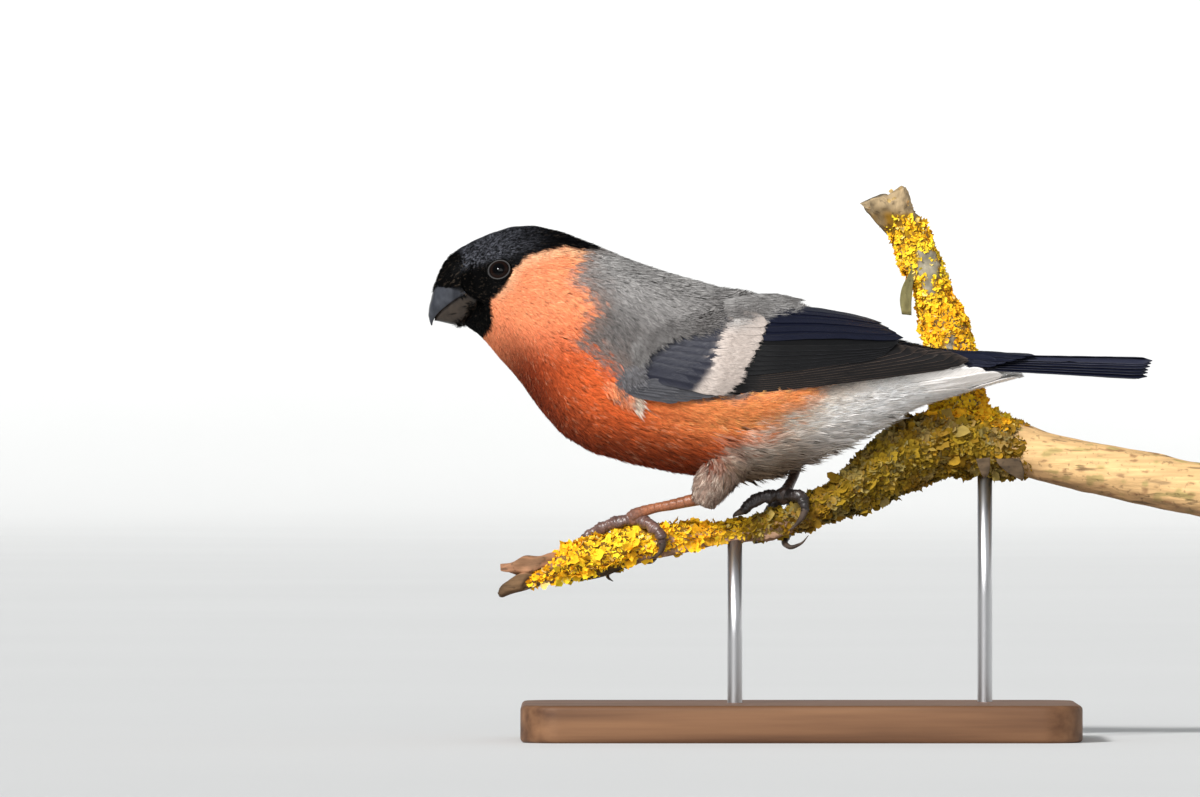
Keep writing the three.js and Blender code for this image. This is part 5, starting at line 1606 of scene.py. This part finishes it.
def scaled_foot(side):
    """One leg: its shin, its pad and toes in one piece, and its claws as pieces of their own."""
    foot, tone = FEET[side], LEG_TONES_AND_SHADE[side]
    shin = Tube(foot["shin"], SHIN_RADII, (-0.2, 0, 1), plates(SHIN_PLATE, 0.14))
    shin_rings = shin.rings(*SHIN_GRID)
    share = np.linspace(0, 1, len(shin_rings))[:, None]
    seam = 1 - 0.35 * ease(0.86, 1.0, (share * shin.length / SHIN_PLATE) % 1)
    base = np.broadcast_to(tone["shin"], share.shape + (3,))
    base = blend(base, tone["toes"], ease(0.75, 1.0, share) * 0.7)
    points, faces, tint = toned_shell(shin_rings, base * seam[..., None])
    new_piece(f"tarsus_{side}_skin", points, faces, leg_scales, nodes=(f"tarsus_{side}",), colours=tint)
    shells = []
    pad_points, pad_ups = on_branch([foot["pad"]])
    for toe, stops in foot["toes"].items():
        points, ups = on_branch(stops)
        points, ups = np.concatenate([pad_points, points]), np.concatenate([pad_ups, ups])
        leg = np.linalg.norm(np.diff(points, axis=0), axis=-1)
        joints = np.cumsum(leg)[:-1]
        radii = np.linspace(TOE_ROOT, TOE_TIP, len(points))
        tube = Tube(points, radii, ups, plates(TOE_PLATE, 0.2, 0.22, joints))
        rings = tube.rings(int(leg.sum() * TOE_ROWS_PER_MM), TOE_COLUMNS)
        lumps = 0.2 * noise(rings, 0.9, 72) + 0.1 * noise(rings, 0.4, 73)
        rings = rings + unit(rings - rings.mean(1, keepdims=True)) * lumps[..., None]
        s = np.linspace(0, tube.length, len(rings))[:, None]
        groove = 1 - 0.45 * ease(0.8, 1.0, (s / TOE_PLATE) % 1)
        base = np.broadcast_to(tone["toes"], s.shape + (3,))
        base = blend(base, tone["toes"] * 0.55, ease(0.6, 1.0, s / tube.length))
        shells.append(toned_shell(rings, base * groove[..., None]))
        nail_points, nail_ups = on_branch([stops[-1]] + foot["claws"][toe])
        nail_points[0] = nail_points[0] + unit(nail_points[0] - nail_points[1]) * 0.5
        bend = np.linspace(0, 1, len(nail_points))
        claw = Tube(nail_points, mix(CLAW_ROOT, CLAW_TIP, bend ** 1.1), nail_ups)
        new_piece(
            f"claw_{side}_{toe}_horn", *closed_shell(claw.rings(*CLAW_GRID)), claw_horn,
            nodes=(f"claw_{side}_{toe}",),
        )
    knuckle, _ = ball_rings(KNUCKLE, KNUCKLE_GRID, pad_points[0], pad_ups[0])
    knuckle = knuckle + unit(knuckle - pad_points[0]) * (0.3 * noise(knuckle, 0.9, 71))[..., None]
    shells.append(toned_shell(knuckle, mix(tone["shin"], tone["toes"], 0.6)))
    points, faces = joined([shell[:2] for shell in shells])
    new_piece(
        f"foot_{side}_skin", points, faces, leg_scales, nodes=(f"foot_{side}",),
        colours=np.concatenate([shell[2] for shell in shells]),
    )


claw_horn = horn_finish("claw_horn", paint(40, 32, 28), paint(92, 78, 68), 0.35), "claw_horn"
for side in FEET:
    scaled_foot(side)

# %% [markdown]
# ## Thighs
#
# Short feathers cover each thigh down to the bare shin, like trouser legs. They hang along the
# thigh, whatever the body's feathers do.

# %% Thighs
THIGHS = {
    "left": np.array([  # x, y, z, radius
        (-10.5, -7.2, 66.5, 4.2), (-13.6, -8.4, 61.5, 4.6), (-17.0, -8.9, 57.5, 4.4),
        (-19.6, -8.4, 53.6, 3.7), (-20.9, -7.7, 50.4, 2.2),
    ]),
    "right": np.array([
        (5.0, 7.6, 69.0, 4.0), (3.0, 8.4, 66.0, 4.4), (1.4, 8.8, 63.0, 3.7), (0.2, 8.7, 60.2, 2.0),
    ]),
}
THIGH_TUFTS = 5.0  # to a square millimetre
thigh_dress = FEATHERS["mantle"][0], "breast_feathers"
for side, table in THIGHS.items():
    thigh = Tube(table[:, :3], table[:, 3], (-1, 0, 0.3))
    flesh = closed_shell(thigh.rings(*THIGH_GRID, -0.9, (0.0, 0.96)))
    # The thigh's skin is darkened by half, as painted shade under its feathers.
    new_piece(
        f"thigh_{side}_skin", *flesh, thigh_dress, nodes=(f"thigh_{side}",),
        colours=blend(marked(flesh[0]), THIGH, ease(60, 56, flesh[0][:, 2])) * 0.5,
    )
    feathered = thigh.length * 0.12, thigh.length * 0.97
    s, turn = scatter(thigh, feathered, (-np.pi, np.pi), lambda at: THIGH_TUFTS + 0 * at[..., 0], 0.37)
    share = s / thigh.length
    size = mix(4.8, 2.4, share) * draws.uniform(0.8, 1.25, len(s))
    along, _, normal = frame_on(thigh, s, turn)
    ahead, aside = unit(along), np.cross(unit(along), normal)
    backwards = np.arctan2(aside[:, 0] - 0.1 * aside[:, 2], ahead[:, 0] - 0.1 * ahead[:, 2])
    trailing = ease(0.2, 0.8, normal[:, 0]) * ease(0.95, 0.75, share)
    size = size * (1 + 0.5 * trailing)
    heading = backwards * np.maximum(ease(0.6, 0.4, share), 0.8 * trailing) + draws.normal(0, 0.24, len(s))
    fur = Tufts(thigh, s, turn, heading, size, size * 0.15, 0.8, draws.uniform(-0.1, 0.45, len(s)))
    lower = ease(0.42, 0.62, share + draws.normal(0, 0.06, len(s)))
    lower = lower * (1 - 0.7 * trailing)
    # The upper tufts take the body's colours darkened by 0.7, as painted shade where the belly above faces
    # down.
    tint = blend(marked(fur.tip_places()) * 0.7, THIGH, lower)
    tint = blend(tint, BEIGE, (draws.random(len(s)) < 0.3) * 0.55 * lower)
    tint = tint * np.maximum(draws.normal(1, 0.2, (len(s), 1)), 0.4)
    place = np.stack([turn / (2 * np.pi) + 0.5, share], -1)
    fur.piece(f"thigh_{side}_tufts", thigh_dress, fur.shaded(tint, 0.0, 0.2, 0.6, 1.2), place)

# %% [markdown]
# ## Branch
#
# The branch is a dead one. Its thin end is split into two prongs, most of it carries bark under
# leafy lichen, and its thick end has lost its bark. The wood is a round surface with long cracks,
# a knot and swellings from stretched noise. The bark ends in a ragged edge over the wood, with
# loose flaps, and the upright fork is broken off at its top.

# %% Wood
TIP_X, BARE_X, BUTT_X = -65.0, 46.5, 89.2
BARK_ROWS, BUTT_ROWS, LIMB_COLUMNS = 340, 120, 90
PRONG_GRID, FORK_GRID = (40, 24), (140, 72)
KNOT = np.array([-6.4, 43.4])
BARK_DARK = paint(66, 54, 36)
BARK_GREY = paint(138, 130, 112)
CRUST = paint(134, 96, 18)
TIP_GREY = paint(108, 82, 56)
TIP_PINK = paint(160, 116, 86)
STRIP = paint(158, 124, 98)
FLAP = paint(84, 68, 50)
LICHEN_GREY_BARK = paint(128, 120, 78)
WOOD = paint(226, 184, 128)
WOOD_GREEN = paint(160, 146, 88)
WOOD_BROWN = paint(128, 92, 60)
prong_points = [(-51.5, -0.8, 38.6), (-56.5, -1.0, 38.0), (-60.5, -1.2, 37.2), (-64.4, -1.3, 37.0)]
bare_to = through(
    [-60, -52, -45, -35, -29, -24, -20, -15, -5, 6, 50],
    [2.6, 2.8, 2.7, 2.6, 2.6, 2.5, 2.3, 2.3, 2.7, 3.3, 3.3],
)


def wrapped(angle):
    """An angle brought back to between -pi and pi."""
    return np.arctan2(np.sin(angle), np.cos(angle))


def angle_round(points):
    """The angle at which points lie round the branch, from its top towards the bird's left."""
    centre = branch_line(points[..., 0])
    return np.arctan2(centre[..., 0] - points[..., 1], points[..., 2] - centre[..., 1])


def lichen_cover(x, angle):
    """How thickly lichen covers the branch at a place, from 0 to 1, down to a ragged lower edge."""
    x, angle = np.broadcast_arrays(x, angle)
    ragged = noise(np.stack([x, 3 * angle, 0 * x], -1), 3.0, 27)
    along = ease(-59.5, -57.5, x + ragged) * (1 - ease(47.0, 49.0, x + 1.5 * ragged))
    around = bare_to(x) + 0.3 * ragged
    return along * (1 - ease(around - 0.12, around + 0.12, np.abs(wrapped(angle))))


def weathered(name, fibres_scale, fibre_contrast, rough=0.85):
    """Dry wood or bark: the mesh's own colours, with fibres, thin dark cracks and small flecks."""
    material, tree, shader = new_finish(name, Roughness=rough, Specular_IOR_Level=0.3)
    fibres = stretched_noise(tree, fibres_scale, 6.0)
    cracks = stretched_noise(tree, tuple(0.55 * k for k in fibres_scale))
    flecks = stretched_noise(tree, (900.0, 900.0, 900.0))
    gap, fleck = ramp(tree, cracks, 0.62, 0.68, 1.0, 0.5), ramp(tree, flecks, 0.6, 0.7, 1.0, 0.62)
    tone = spread(tree, fibres, 1 - fibre_contrast, 1 + fibre_contrast)
    shade = product(tree, tone, product(tree, gap, fleck))
    painted(tree, shader, shade)
    bumped(tree, shader, shade, 0.6, 0.3 * MM)
    return material


def limb_rings(x, angle, inset):
    """The branch let in by inset, with long ripples, lumps, the knot's low dome and a blunt tip."""
    smooth = branch_at(x, angle)
    ripple = 0.25 * noise(smooth / [7.0, 1.4, 1.4], 1.0, 5) + 0.35 * noise(smooth, 6.0, 8)
    from_knot = np.hypot(smooth[..., 0] - KNOT[0], smooth[..., 2] - KNOT[1]) + 9 * (smooth[..., 1] > 1)
    ripple = ripple + 0.7 * np.exp(-(from_knot / 1.7) ** 2) - 0.5 * np.exp(-(from_knot / 0.5) ** 2)
    to_tip = np.clip((x - TIP_X) / 1.4, 0, 1)
    thicker = 0.45 * ease(-55, -60, x)
    return branch_at(x, angle, ripple + thicker - inset - 1.5 * (1 - np.sqrt(1 - (1 - to_tip) ** 2)))


def lichen_bed(x, angle):
    """The lumpy crust that the lobes grow on."""
    smooth = branch_at(x, angle)
    hump = 1.3 * np.exp(-((x + 49.0) / 4.0) ** 2) * ease(-0.2, 0.7, np.cos(angle - 0.3))
    return branch_at(x, angle, hump - 0.9 + 0.5 * noise(smooth, 3.2, 29) + 0.25 * noise(smooth, 1.5, 30))


def bark_colour(points):
    """Dark bark with grey patches, pinkish where it is bare below, and greyer towards the tip."""
    x, z = points[..., 0], points[..., 2]
    around = np.abs(angle_round(points))
    strip = STRIP * (1 + 0.25 * noise(points / [5.0, 1, 1], 1.0, 26))[..., None]
    upper = (1 - ease(-54, -50, x)) * ease(35.4, 36.2, z - 0.2 * (x + 60))
    pinker = mix(0.45, 1.0, ease(-0.5, 0.5, noise(points / [3.0, 1, 1], 0.8, 24)))
    return layered(
        points, BARK_DARK,
        (BARK_GREY, 0.8 * ease(0.1, 0.6, noise(points, 3.0, 25))),
        (CRUST, lichen_cover(x, around) * 0.85),
        (strip, ease(-38, -33, x) * (1 - ease(-1, 3, x)) * ease(1.3, 1.6, around)),
        (TIP_GREY, 1 - ease(-56, -50, x)),
        (TIP_PINK, upper * pinker),
        (TIP_GREY * 0.4, (1 - ease(-64.5, -61, x)) * (1 - upper) * 0.8),
    )


def wood_colour(points):
    """Pale tan above, browner below, with greenish and brown flecks."""
    centre = branch_line(points[..., 0])
    low = ease(0.2, 0.95, (centre[..., 1] - points[..., 2]) / centre[..., 2])
    return layered(
        points, WOOD,
        (WOOD * 0.8, 0.5 + 0.7 * noise(points / [9.0, 1, 1], 1.0, 33)),
        (WOOD_GREEN, 0.7 * ease(0.35, 0.6, noise(points / [2.0, 1, 1], 1.2, 34))),
        (WOOD_BROWN, 0.7 * ease(0.5, 0.7, noise(points / [3.0, 1, 1], 0.8, 35))),
        (WOOD_BROWN, 0.75 * low),
    )


def toned_shells(rings_list, colour):
    """Several closed shells as one, coloured by a function of their points."""
    points, faces = joined([closed_shell(rings) for rings in rings_list])
    return points, faces, colour(points)


FLAP_GRID = 14, 12
FLAP_THICK = np.array([0, 0.35, 0])


def leaf(edge, other, seed):
    """A thin curled flap of bark between two edges, each a list of points, ragged at its end."""
    s = np.linspace(0, 1, FLAP_GRID[0])
    first, second = (through(np.linspace(0, 1, len(line)), line)(s) for line in (edge, other))
    across = np.linspace(0, 1, FLAP_GRID[1])[None, :, None]
    sheet = mix(first[:, None], second[:, None], across)
    sheet = sheet + np.array([0, 0.35, 0.2]) * noise(sheet, 1.5, seed)[..., None]
    return np.concatenate([sheet, sheet[:, ::-1] + FLAP_THICK], 1)


bark = weathered("bark", (160.0, 900.0, 900.0), 0.35), "lichened_bark"
fork_bark = weathered("fork_bark", (500.0, 500.0, 160.0), 0.35), "lichened_bark"
bare_wood = weathered("bare_wood", (110.0, 1300.0, 1300.0), 0.2, 0.7), "bare_wood"
ring = full_turn(LIMB_COLUMNS)[None, :]
edge = 2.4 * noise(np.stack([0 * ring, 2.5 * np.cos(ring), 2.5 * np.sin(ring)], -1), 1.0, 28)
bark_x = np.linspace(TIP_X, BARE_X + 6, BARK_ROWS)[:, None]
peel = 2.2 * ease(BARE_X + 1.2, BARE_X + 2.2, bark_x + edge)
crusted = lichen_cover(bark_x, ring)[..., None]
crusted = crusted * (peel < 0.1)[..., None]
bark_rings = mix(limb_rings(bark_x, ring, 0.25 + peel), lichen_bed(bark_x, ring), crusted)


def prong_lumps(s, angle):
    """A split twig isn't round: two lobes that wind along it, and five small ones."""
    return 0.3 * np.sin(2 * angle + s) + 0.15 * np.sin(5 * angle)


prong = Tube(prong_points, [1.5, 1.7, 1.6, 0.5], (0, 0, 1), prong_lumps)
FLAPS = [
    ([(37.9, 3.2, 60.4), (38.8, 2.6, 57.6), (39.6, 3.2, 56.2)],
     [(41.0, 3.4, 60.8), (40.8, 3.0, 57.8), (40.2, 3.4, 56.4)], 64),
    ([(42.2, 3.8, 60.4), (43.4, 3.2, 58.6), (47.6, 4.2, 55.8)],
     [(47.4, 3.8, 60.6), (48.2, 3.6, 58.2), (48.2, 4.4, 56.0)], 65),
]
flaps = [leaf(*flap) for flap in FLAPS]
points, faces, tint = toned_shells([bark_rings, prong.rings(*PRONG_GRID), *flaps], bark_colour)
in_flap = (points[:, 0] > 37) & (np.arange(len(points)) >= bark_rings[..., 0].size + 2)
tint = np.where(in_flap[:, None], FLAP * (1 + 0.35 * noise(points, 1.4, 67))[:, None], tint)
new_piece(
    "branch_bark", points, faces, bark, nodes=("perch_tip", "perch_middle", "perch_crotch"), colours=tint,
)
butt_x = np.linspace(BARE_X - 8, BUTT_X, BUTT_ROWS)[:, None]
butt_rings = limb_rings(butt_x, ring, 0.45 + 1.1 * (1 - ease(BARE_X - 4, BARE_X + 1, butt_x + edge)))
points, faces, tint = toned_shells([butt_rings], wood_colour)
new_piece("branch_butt_wood", points, faces, bare_wood, nodes=("perch_butt",), colours=tint)

# %% Fork
FORK_TOP = paint(176, 152, 116)
BARE_PATCHES = [(28.0, 102.2, 2.6), (27.8, 97.6, 1.5), (33.4, 84.2, 1.6)]
FLAKE = (
    [(25.4, 17.6, 103.4), (23.6, 16.8, 100.0), (21.9, 16.6, 96.0), (22.2, 16.8, 91.7)],
    [(26.0, 17.8, 103.0), (25.0, 17.2, 100.0), (24.4, 16.8, 95.5), (24.3, 17.0, 91.5)], 66,
)


def bare_patch(points):
    """1 inside the fork's bare patches on its near side, and 0 elsewhere."""
    ragged = 0.7 * noise(points, 1.6, 44)
    near = points[..., 1] < 19.5
    gaps = [np.hypot(points[..., 0] - x, (points[..., 2] - z) * 0.8) / r for x, z, r in BARE_PATCHES]
    return (1 - ease(0.75, 1.15, np.min(gaps, axis=0) + ragged)) * near


def fork_colour(points):
    """Grey bark, whitish at the broken top and in the bare patches."""
    x, z = points[..., 0], points[..., 2]
    top = FORK_TOP * (1 + 0.3 * noise(points, 1.3, 49))[..., None]
    return layered(
        points, CRUST,
        (BARK_GREY, 0.5 * ease(-0.1, 0.7, noise(points, 2.5, 45))),
        (BARK_GREY * (1.1 + 0.5 * noise(points, 0.9, 69))[..., None], bare_patch(points)),
        (LICHEN_GREY_BARK, ease(25.6, 24.4, x) * ease(104, 102, z)),
        (top, ease(112.5, 115.5, z + 1.5 * noise(points, 2.0, 46))),
    )


fork = Tube(FORK[:, :3], FORK[:, 3] - 0.9, (0, -1, 0))
fork_angle = full_turn(FORK_GRID[1])[None, :]
fork_way = np.stack([2.2 * np.cos(fork_angle), 2.2 * np.sin(fork_angle), 0 * fork_angle], -1)
broken = 1 - 0.03 * (1 + noise(fork_way, 1.0, 47))
fork_rows = np.linspace(0, 1, FORK_GRID[0])[:, None]
fork_run = fork.length * fork_rows * mix(1.0, broken, fork_rows ** 6)
fork_rings = fork(fork_run, fork_angle, 0.0)
swell = 0.5 * noise(fork_rings, 3.2, 38) + 0.3 * noise(fork_rings, 1.5, 39)
swell = swell + 0.8 * ease(0.9, 0.98, fork_rows)
leftwards = np.maximum(-unit(fork_rings - fork_rings.mean(1, keepdims=True))[..., 0], 0)
crumbled = 0.3 * noise(fork_rings, 0.9, 50) * ease(0.85, 0.95, fork_rows)
swell = swell + 2.6 * leftwards * ease(0.84, 0.96, fork_rows) + crumbled
fork_rings = fork(fork_run, fork_angle, swell)
fork_rings = fork_rings + [0, 0, 1] * (3.2 * leftwards * ease(0.86, 1.0, fork_rows))[..., None]
points, faces, tint = toned_shells([fork_rings, leaf(*FLAKE)], fork_colour)
new_piece("fork_bark", points, faces, fork_bark, nodes=("perch_fork",), colours=tint)

# %% [markdown]
# ## Lichen
#
# The yellow lichen is a crust of small leafy lobes, each a curled scallop that overlaps its
# neighbours. One lobe is a fan of few faces. It is repeated thousands of times, turned, tilted
# and coloured by where it sits: yellow-orange in the sun, and olive and grey-green as a painted
# shadow where the bird shades it.

# %% Lichen
LOBE_ROWS, LOBE_COLUMNS = 3, 5
LICHEN_SUN = paint(252, 204, 44)
LICHEN_RICH = paint(242, 170, 20)
LICHEN_PALE = paint(222, 206, 132)
LICHEN_IN_SHADOW = paint(90, 72, 12)
LICHEN_GREY = paint(98, 95, 68)


def lobes(name, surface, p, q, size, colour):
    """Lobes rooted at places on a surface, each with its own turn, tilt, curl and ruffled rim."""
    count = len(p)
    along, _, normal = frame_on(surface, p, q, 0.3, 0.03)
    way = swung(unit(along), np.cross(unit(along), normal), draws.uniform(0, 2 * np.pi, count))
    side = np.cross(way, normal)
    share = np.linspace(0, 1, LOBE_ROWS)[:, None] + np.zeros(LOBE_COLUMNS)
    across = np.linspace(-1, 1, LOBE_COLUMNS)[None, :] + np.zeros((LOBE_ROWS, 1))
    big = size[:, None, None]
    tilt = draws.uniform(0.0, 0.75, (count, 1, 1))
    scallop = 1 - 0.4 * across ** 2 + draws.normal(0, 0.12, (count,) + share.shape) * (share > 0.9)
    reach = share * scallop * big
    width = (0.3 + 0.8 * np.sin(share * 1.7)) * across * big * 0.52
    ruffle = np.sin(across * 5 + draws.uniform(0, 6, (count, 1, 1))) * share ** 2 * 0.16 * big
    curl = draws.uniform(-0.5, 0.7, (count, 1, 1)) * (share ** 2 + 0.6 * across ** 2 * share) * 0.35 * big
    rise = reach * np.sin(tilt) + curl + ruffle
    forward = reach * np.cos(tilt)
    points = (surface(p, q) - normal * 0.25)[:, None, None] + (
        way[:, None, None] * forward[..., None] + side[:, None, None] * width[..., None]
        + normal[:, None, None] * rise[..., None]
    )
    # Each lobe is darker at its root than at its rim, as painted shade between overlapping lobes.
    tone = (0.72 + 0.46 * share) * draws.normal(1, 0.07, (count,) + share.shape)
    quads = grid_faces(LOBE_ROWS, LOBE_COLUMNS)
    faces = (quads[None] + np.arange(count)[:, None, None] * share.size).reshape(-1, 4)
    flat = np.stack([width, reach], -1).reshape(count, -1, 2)
    place = np.stack([wrapped(q) / (2 * np.pi) + 0.5, (p - p.min()) / np.ptp(p)], 1)
    new_piece(
        name, points, [faces], lichen_crust, colours=colour[:, None, None] * tone[..., None],
        maps={"OFBake": bake_patches(place, flat), "vane": flat + draws.uniform(0, 40, (count, 1, 2))},
    )


lichen_crust = streaked_finish("lichen_crust", 0.12, 0.3, 0.85, 0.25), "lichened_bark"


def lichen_tint(where, sunny):
    """A lobe's colour from its place and how sunny that is, from 0 to 1."""
    count = len(where)
    richer = ease(-0.6, 0.8, noise(where, 5.0, 21) + draws.normal(0, 0.3, count))
    faded = (draws.random(count) < 0.05) * 0.7
    greyer = ease(-0.1, 0.5, noise(where, 2.6, 22) + draws.normal(0, 0.3, count))
    # Olive and grey-green are painted shadow, laid where the place is less sunny.
    shaded = layered(where, LICHEN_IN_SHADOW, (LICHEN_GREY, greyer))
    colour = layered(
        where, LICHEN_SUN, (LICHEN_RICH, richer), (LICHEN_PALE, faded), (shaded, (1 - sunny) * 0.95),
    )
    return colour * np.maximum(draws.normal(1, 0.13, (count, 1)), 0.4)


def patchy(where, seed):
    """1 where a crust grows, down to 0 in its few holes."""
    return ease(-1.15, -0.8, noise(where, 5.0, seed) + 0.5 * noise(where, 2.0, seed + 1))


def main_density(where):
    """Lobes to a square millimetre of the main branch."""
    return 4.2 * lichen_cover(where[..., 0], angle_round(where)) * patchy(where, 31)


lobe_x, lobe_angle = scatter(lichen_bed, (-60, 50), (-np.pi, np.pi), main_density, 0.21)
lobe_place = lichen_bed(lobe_x, lobe_angle)
lobe_z = lobe_place[:, 2]
# Painted shadow on the lichen: a light one past the legs and a dark one at the crotch, where the bird casts
# its shadow.
leg_shade = ease(-24, -19, lobe_x + 1.2 * noise(lobe_place, 2.0, 36))
leg_shade = leg_shade * ease(46.5, 44.6, lobe_z - 0.06 * lobe_x)
crotch_shade = ease(-16, -10, lobe_x + 3 * noise(lobe_place, 4.0, 37))
crotch_shade = crotch_shade * ease(70.2, 69.0, lobe_z + 0.11 * (lobe_x - 30) + noise(lobe_place, 3.0, 68))
sunny = 1 - np.maximum(0.88 * crotch_shade, 0.3 * leg_shade)
large = 1 + 0.9 * (draws.random(len(lobe_x)) < 0.06) + 0.35 * ease(4, 12, lobe_x)
large = large + 0.5 * (np.abs(lobe_angle) > bare_to(lobe_x) - 0.35)
lobes(
    "lichen_main", lichen_bed, lobe_x, lobe_angle, draws.uniform(0.7, 1.3, len(lobe_x)) * large,
    lichen_tint(lobe_place, sunny),
)


def fork_bed(s, angle):
    """The lumpy crust on the fork."""
    smooth = fork(s, angle)
    return fork(s, angle, 0.05 + 0.5 * noise(smooth, 3.2, 38) + 0.3 * noise(smooth, 1.5, 39))


def fork_density(where):
    """Lobes to a square millimetre of the fork: few in its bare patches and at its top."""
    top = ease(115.5, 113.5, where[..., 2] + 0.5 * (where[..., 0] - 20) + 1.2 * noise(where, 2.0, 43))
    return 3.8 * patchy(where, 41) * (1 - 0.95 * bare_patch(where)) * mix(0.12, 1.0, top)


fork_s, fork_turn = scatter(fork_bed, (2.0, fork.length - 1.5), (-np.pi, np.pi), fork_density, 0.63)
fork_place = fork_bed(fork_s, fork_turn)
# Painted shadow of the bird on the fork's lichen, below about z 70.
shade = 1 - 0.8 * ease(71.5, 69.5, fork_place[:, 2] + 1.0 * noise(fork_place, 3.0, 48))
fork_tint = blend(lichen_tint(fork_place, shade), FORK_TOP, 0.8 * ease(113.5, 116, fork_place[:, 2]))
lobes("lichen_fork", fork_bed, fork_s, fork_turn, draws.uniform(0.7, 1.35, len(fork_s)), fork_tint)

# %% [markdown]
# ## Display stand
#
# A flat varnished base with rounded corners and two thin steel rods holds the cut branch. It is
# plain on purpose, so that it isn't taken for a part of the bird's world.

# %% Stand
BASE = {"length": 120.0, "width": 72.0, "height": 8.0, "corner": 9.0, "bevel": 1.0}
BASE_COLUMNS, ROD_COLUMNS = 96, 40
ROD_RADIUS = 1.6
RODS = {"front": (-14.0, 0.6), "back": (40.0, 11.0)}


def rounded_base():
    """Rings of a rounded rectangle, drawn in by the bevel at the bottom and the top edge."""
    turn = full_turn(BASE_COLUMNS, 0) + 0.001
    corner = np.stack([np.sign(np.cos(turn)), np.sign(np.sin(turn))], 1)
    inner = np.array([BASE["length"], BASE["width"]]) / 2 - BASE["corner"]
    bend = np.linspace(0, np.pi / 2, 6)
    inset = BASE["bevel"] * np.concatenate([[1.0], 1 - np.sin(bend), 1 - np.cos(bend), [1.0]])
    rise = BASE["bevel"] * (1 - np.cos(bend)) * 0.999 + 0.001
    top = BASE["height"] - BASE["bevel"] + BASE["bevel"] * np.sin(bend)
    height = np.concatenate([[0.0], rise, top, [BASE["height"]]])
    radius = BASE["corner"] - inset
    way = np.stack([np.cos(turn), np.sin(turn)], 1)
    flat = corner * inner + way * radius[:, None, None]
    return np.concatenate([flat, np.broadcast_to(height[:, None, None], flat.shape[:2] + (1,))], -1)


def varnish_finish():
    """Satin varnished wood with a straight grain."""
    material, tree, shader = new_finish("stand_varnish", Roughness=0.55, Specular_IOR_Level=0.22)
    grain = spread(tree, stretched_noise(tree, (12.0, 400.0, 260.0), 5.0), 0.0, 1.0)
    painted(tree, shader, colour=two_tone(tree, grain, paint(84, 56, 38), paint(128, 92, 64)))
    return material


varnish = varnish_finish(), "stand_wood"
new_piece("stand_base_wood", *closed_shell(rounded_base()), varnish, nodes=("stand_base",))
steel, _, _ = new_finish("stand_steel", Metallic=1.0, Roughness=0.32, Base_Color=(0.55, 0.55, 0.56, 1))
for name, (x, y) in RODS.items():
    _, middle, radius = branch_line(x)
    top = middle - radius * 0.55
    height = np.array([BASE["height"] - 0.5, BASE["height"] + 0.05, top * 0.5, top])
    profile = np.stack([np.full(len(height), ROD_RADIUS), height], 1)
    rod = closed_shell(turned(profile, full_turn(ROD_COLUMNS, 0)) + [x, y, 0])
    new_piece(f"stand_rod_{name}_steel", *rod, (steel, "stand_metal"), nodes=(f"stand_rod_{name}",))

# %% [markdown]
# ## Last feathers over the back
#
# On the real bird the feathers of the back lie over the inner edges of both folded wings. They
# are laid last, on a surface between the body's and the wings', so that no slot shows from behind.

# %% Back feathers
def back_surface(x, angle):
    """Halfway between the body's surface and the folded wings'."""
    return mix(body(x, angle), wing(x, angle), 0.5)


place = band(520, (-36.0, -9.0), wing_top, (2.0, 6.5), 0.37)
loose_feathers(
    "back_feathers", "mantle", place, (3.2, 4.8), (0.0, 0.4), 0.2, 0.1, 0.5, shoulder_colour,
    surface=back_surface,
)

# %% Floor
def studio_floor():
    """A round sheet: flat for six metres, then curling up to a low rim. A profile turned about Z."""
    flat, curl, columns = 6000.0, 1800.0, 96
    bend = np.linspace(0, np.pi / 2, 16)
    radius = np.concatenate([[1.0, 300, 1500, 3500], flat + curl * np.sin(bend)])
    height = np.concatenate([[0.0, 0, 0, 0], curl * (1 - np.cos(bend))])
    profile = np.stack([radius, height], 1)
    faces = [grid_faces(len(radius), columns, True), np.arange(columns)[None, :]]
    material, tree, shader = new_finish("floor_paper", Roughness=0.9)
    tone = spread(tree, stretched_noise(tree, (3.0, 3.0, 3.0)), 0.985, 1.015)
    painted(tree, shader, tone, (0.66, 0.66, 0.65))
    floor = new_piece("floor", turned(profile, full_turn(columns, 0)), faces, (material, None))


studio_floor()
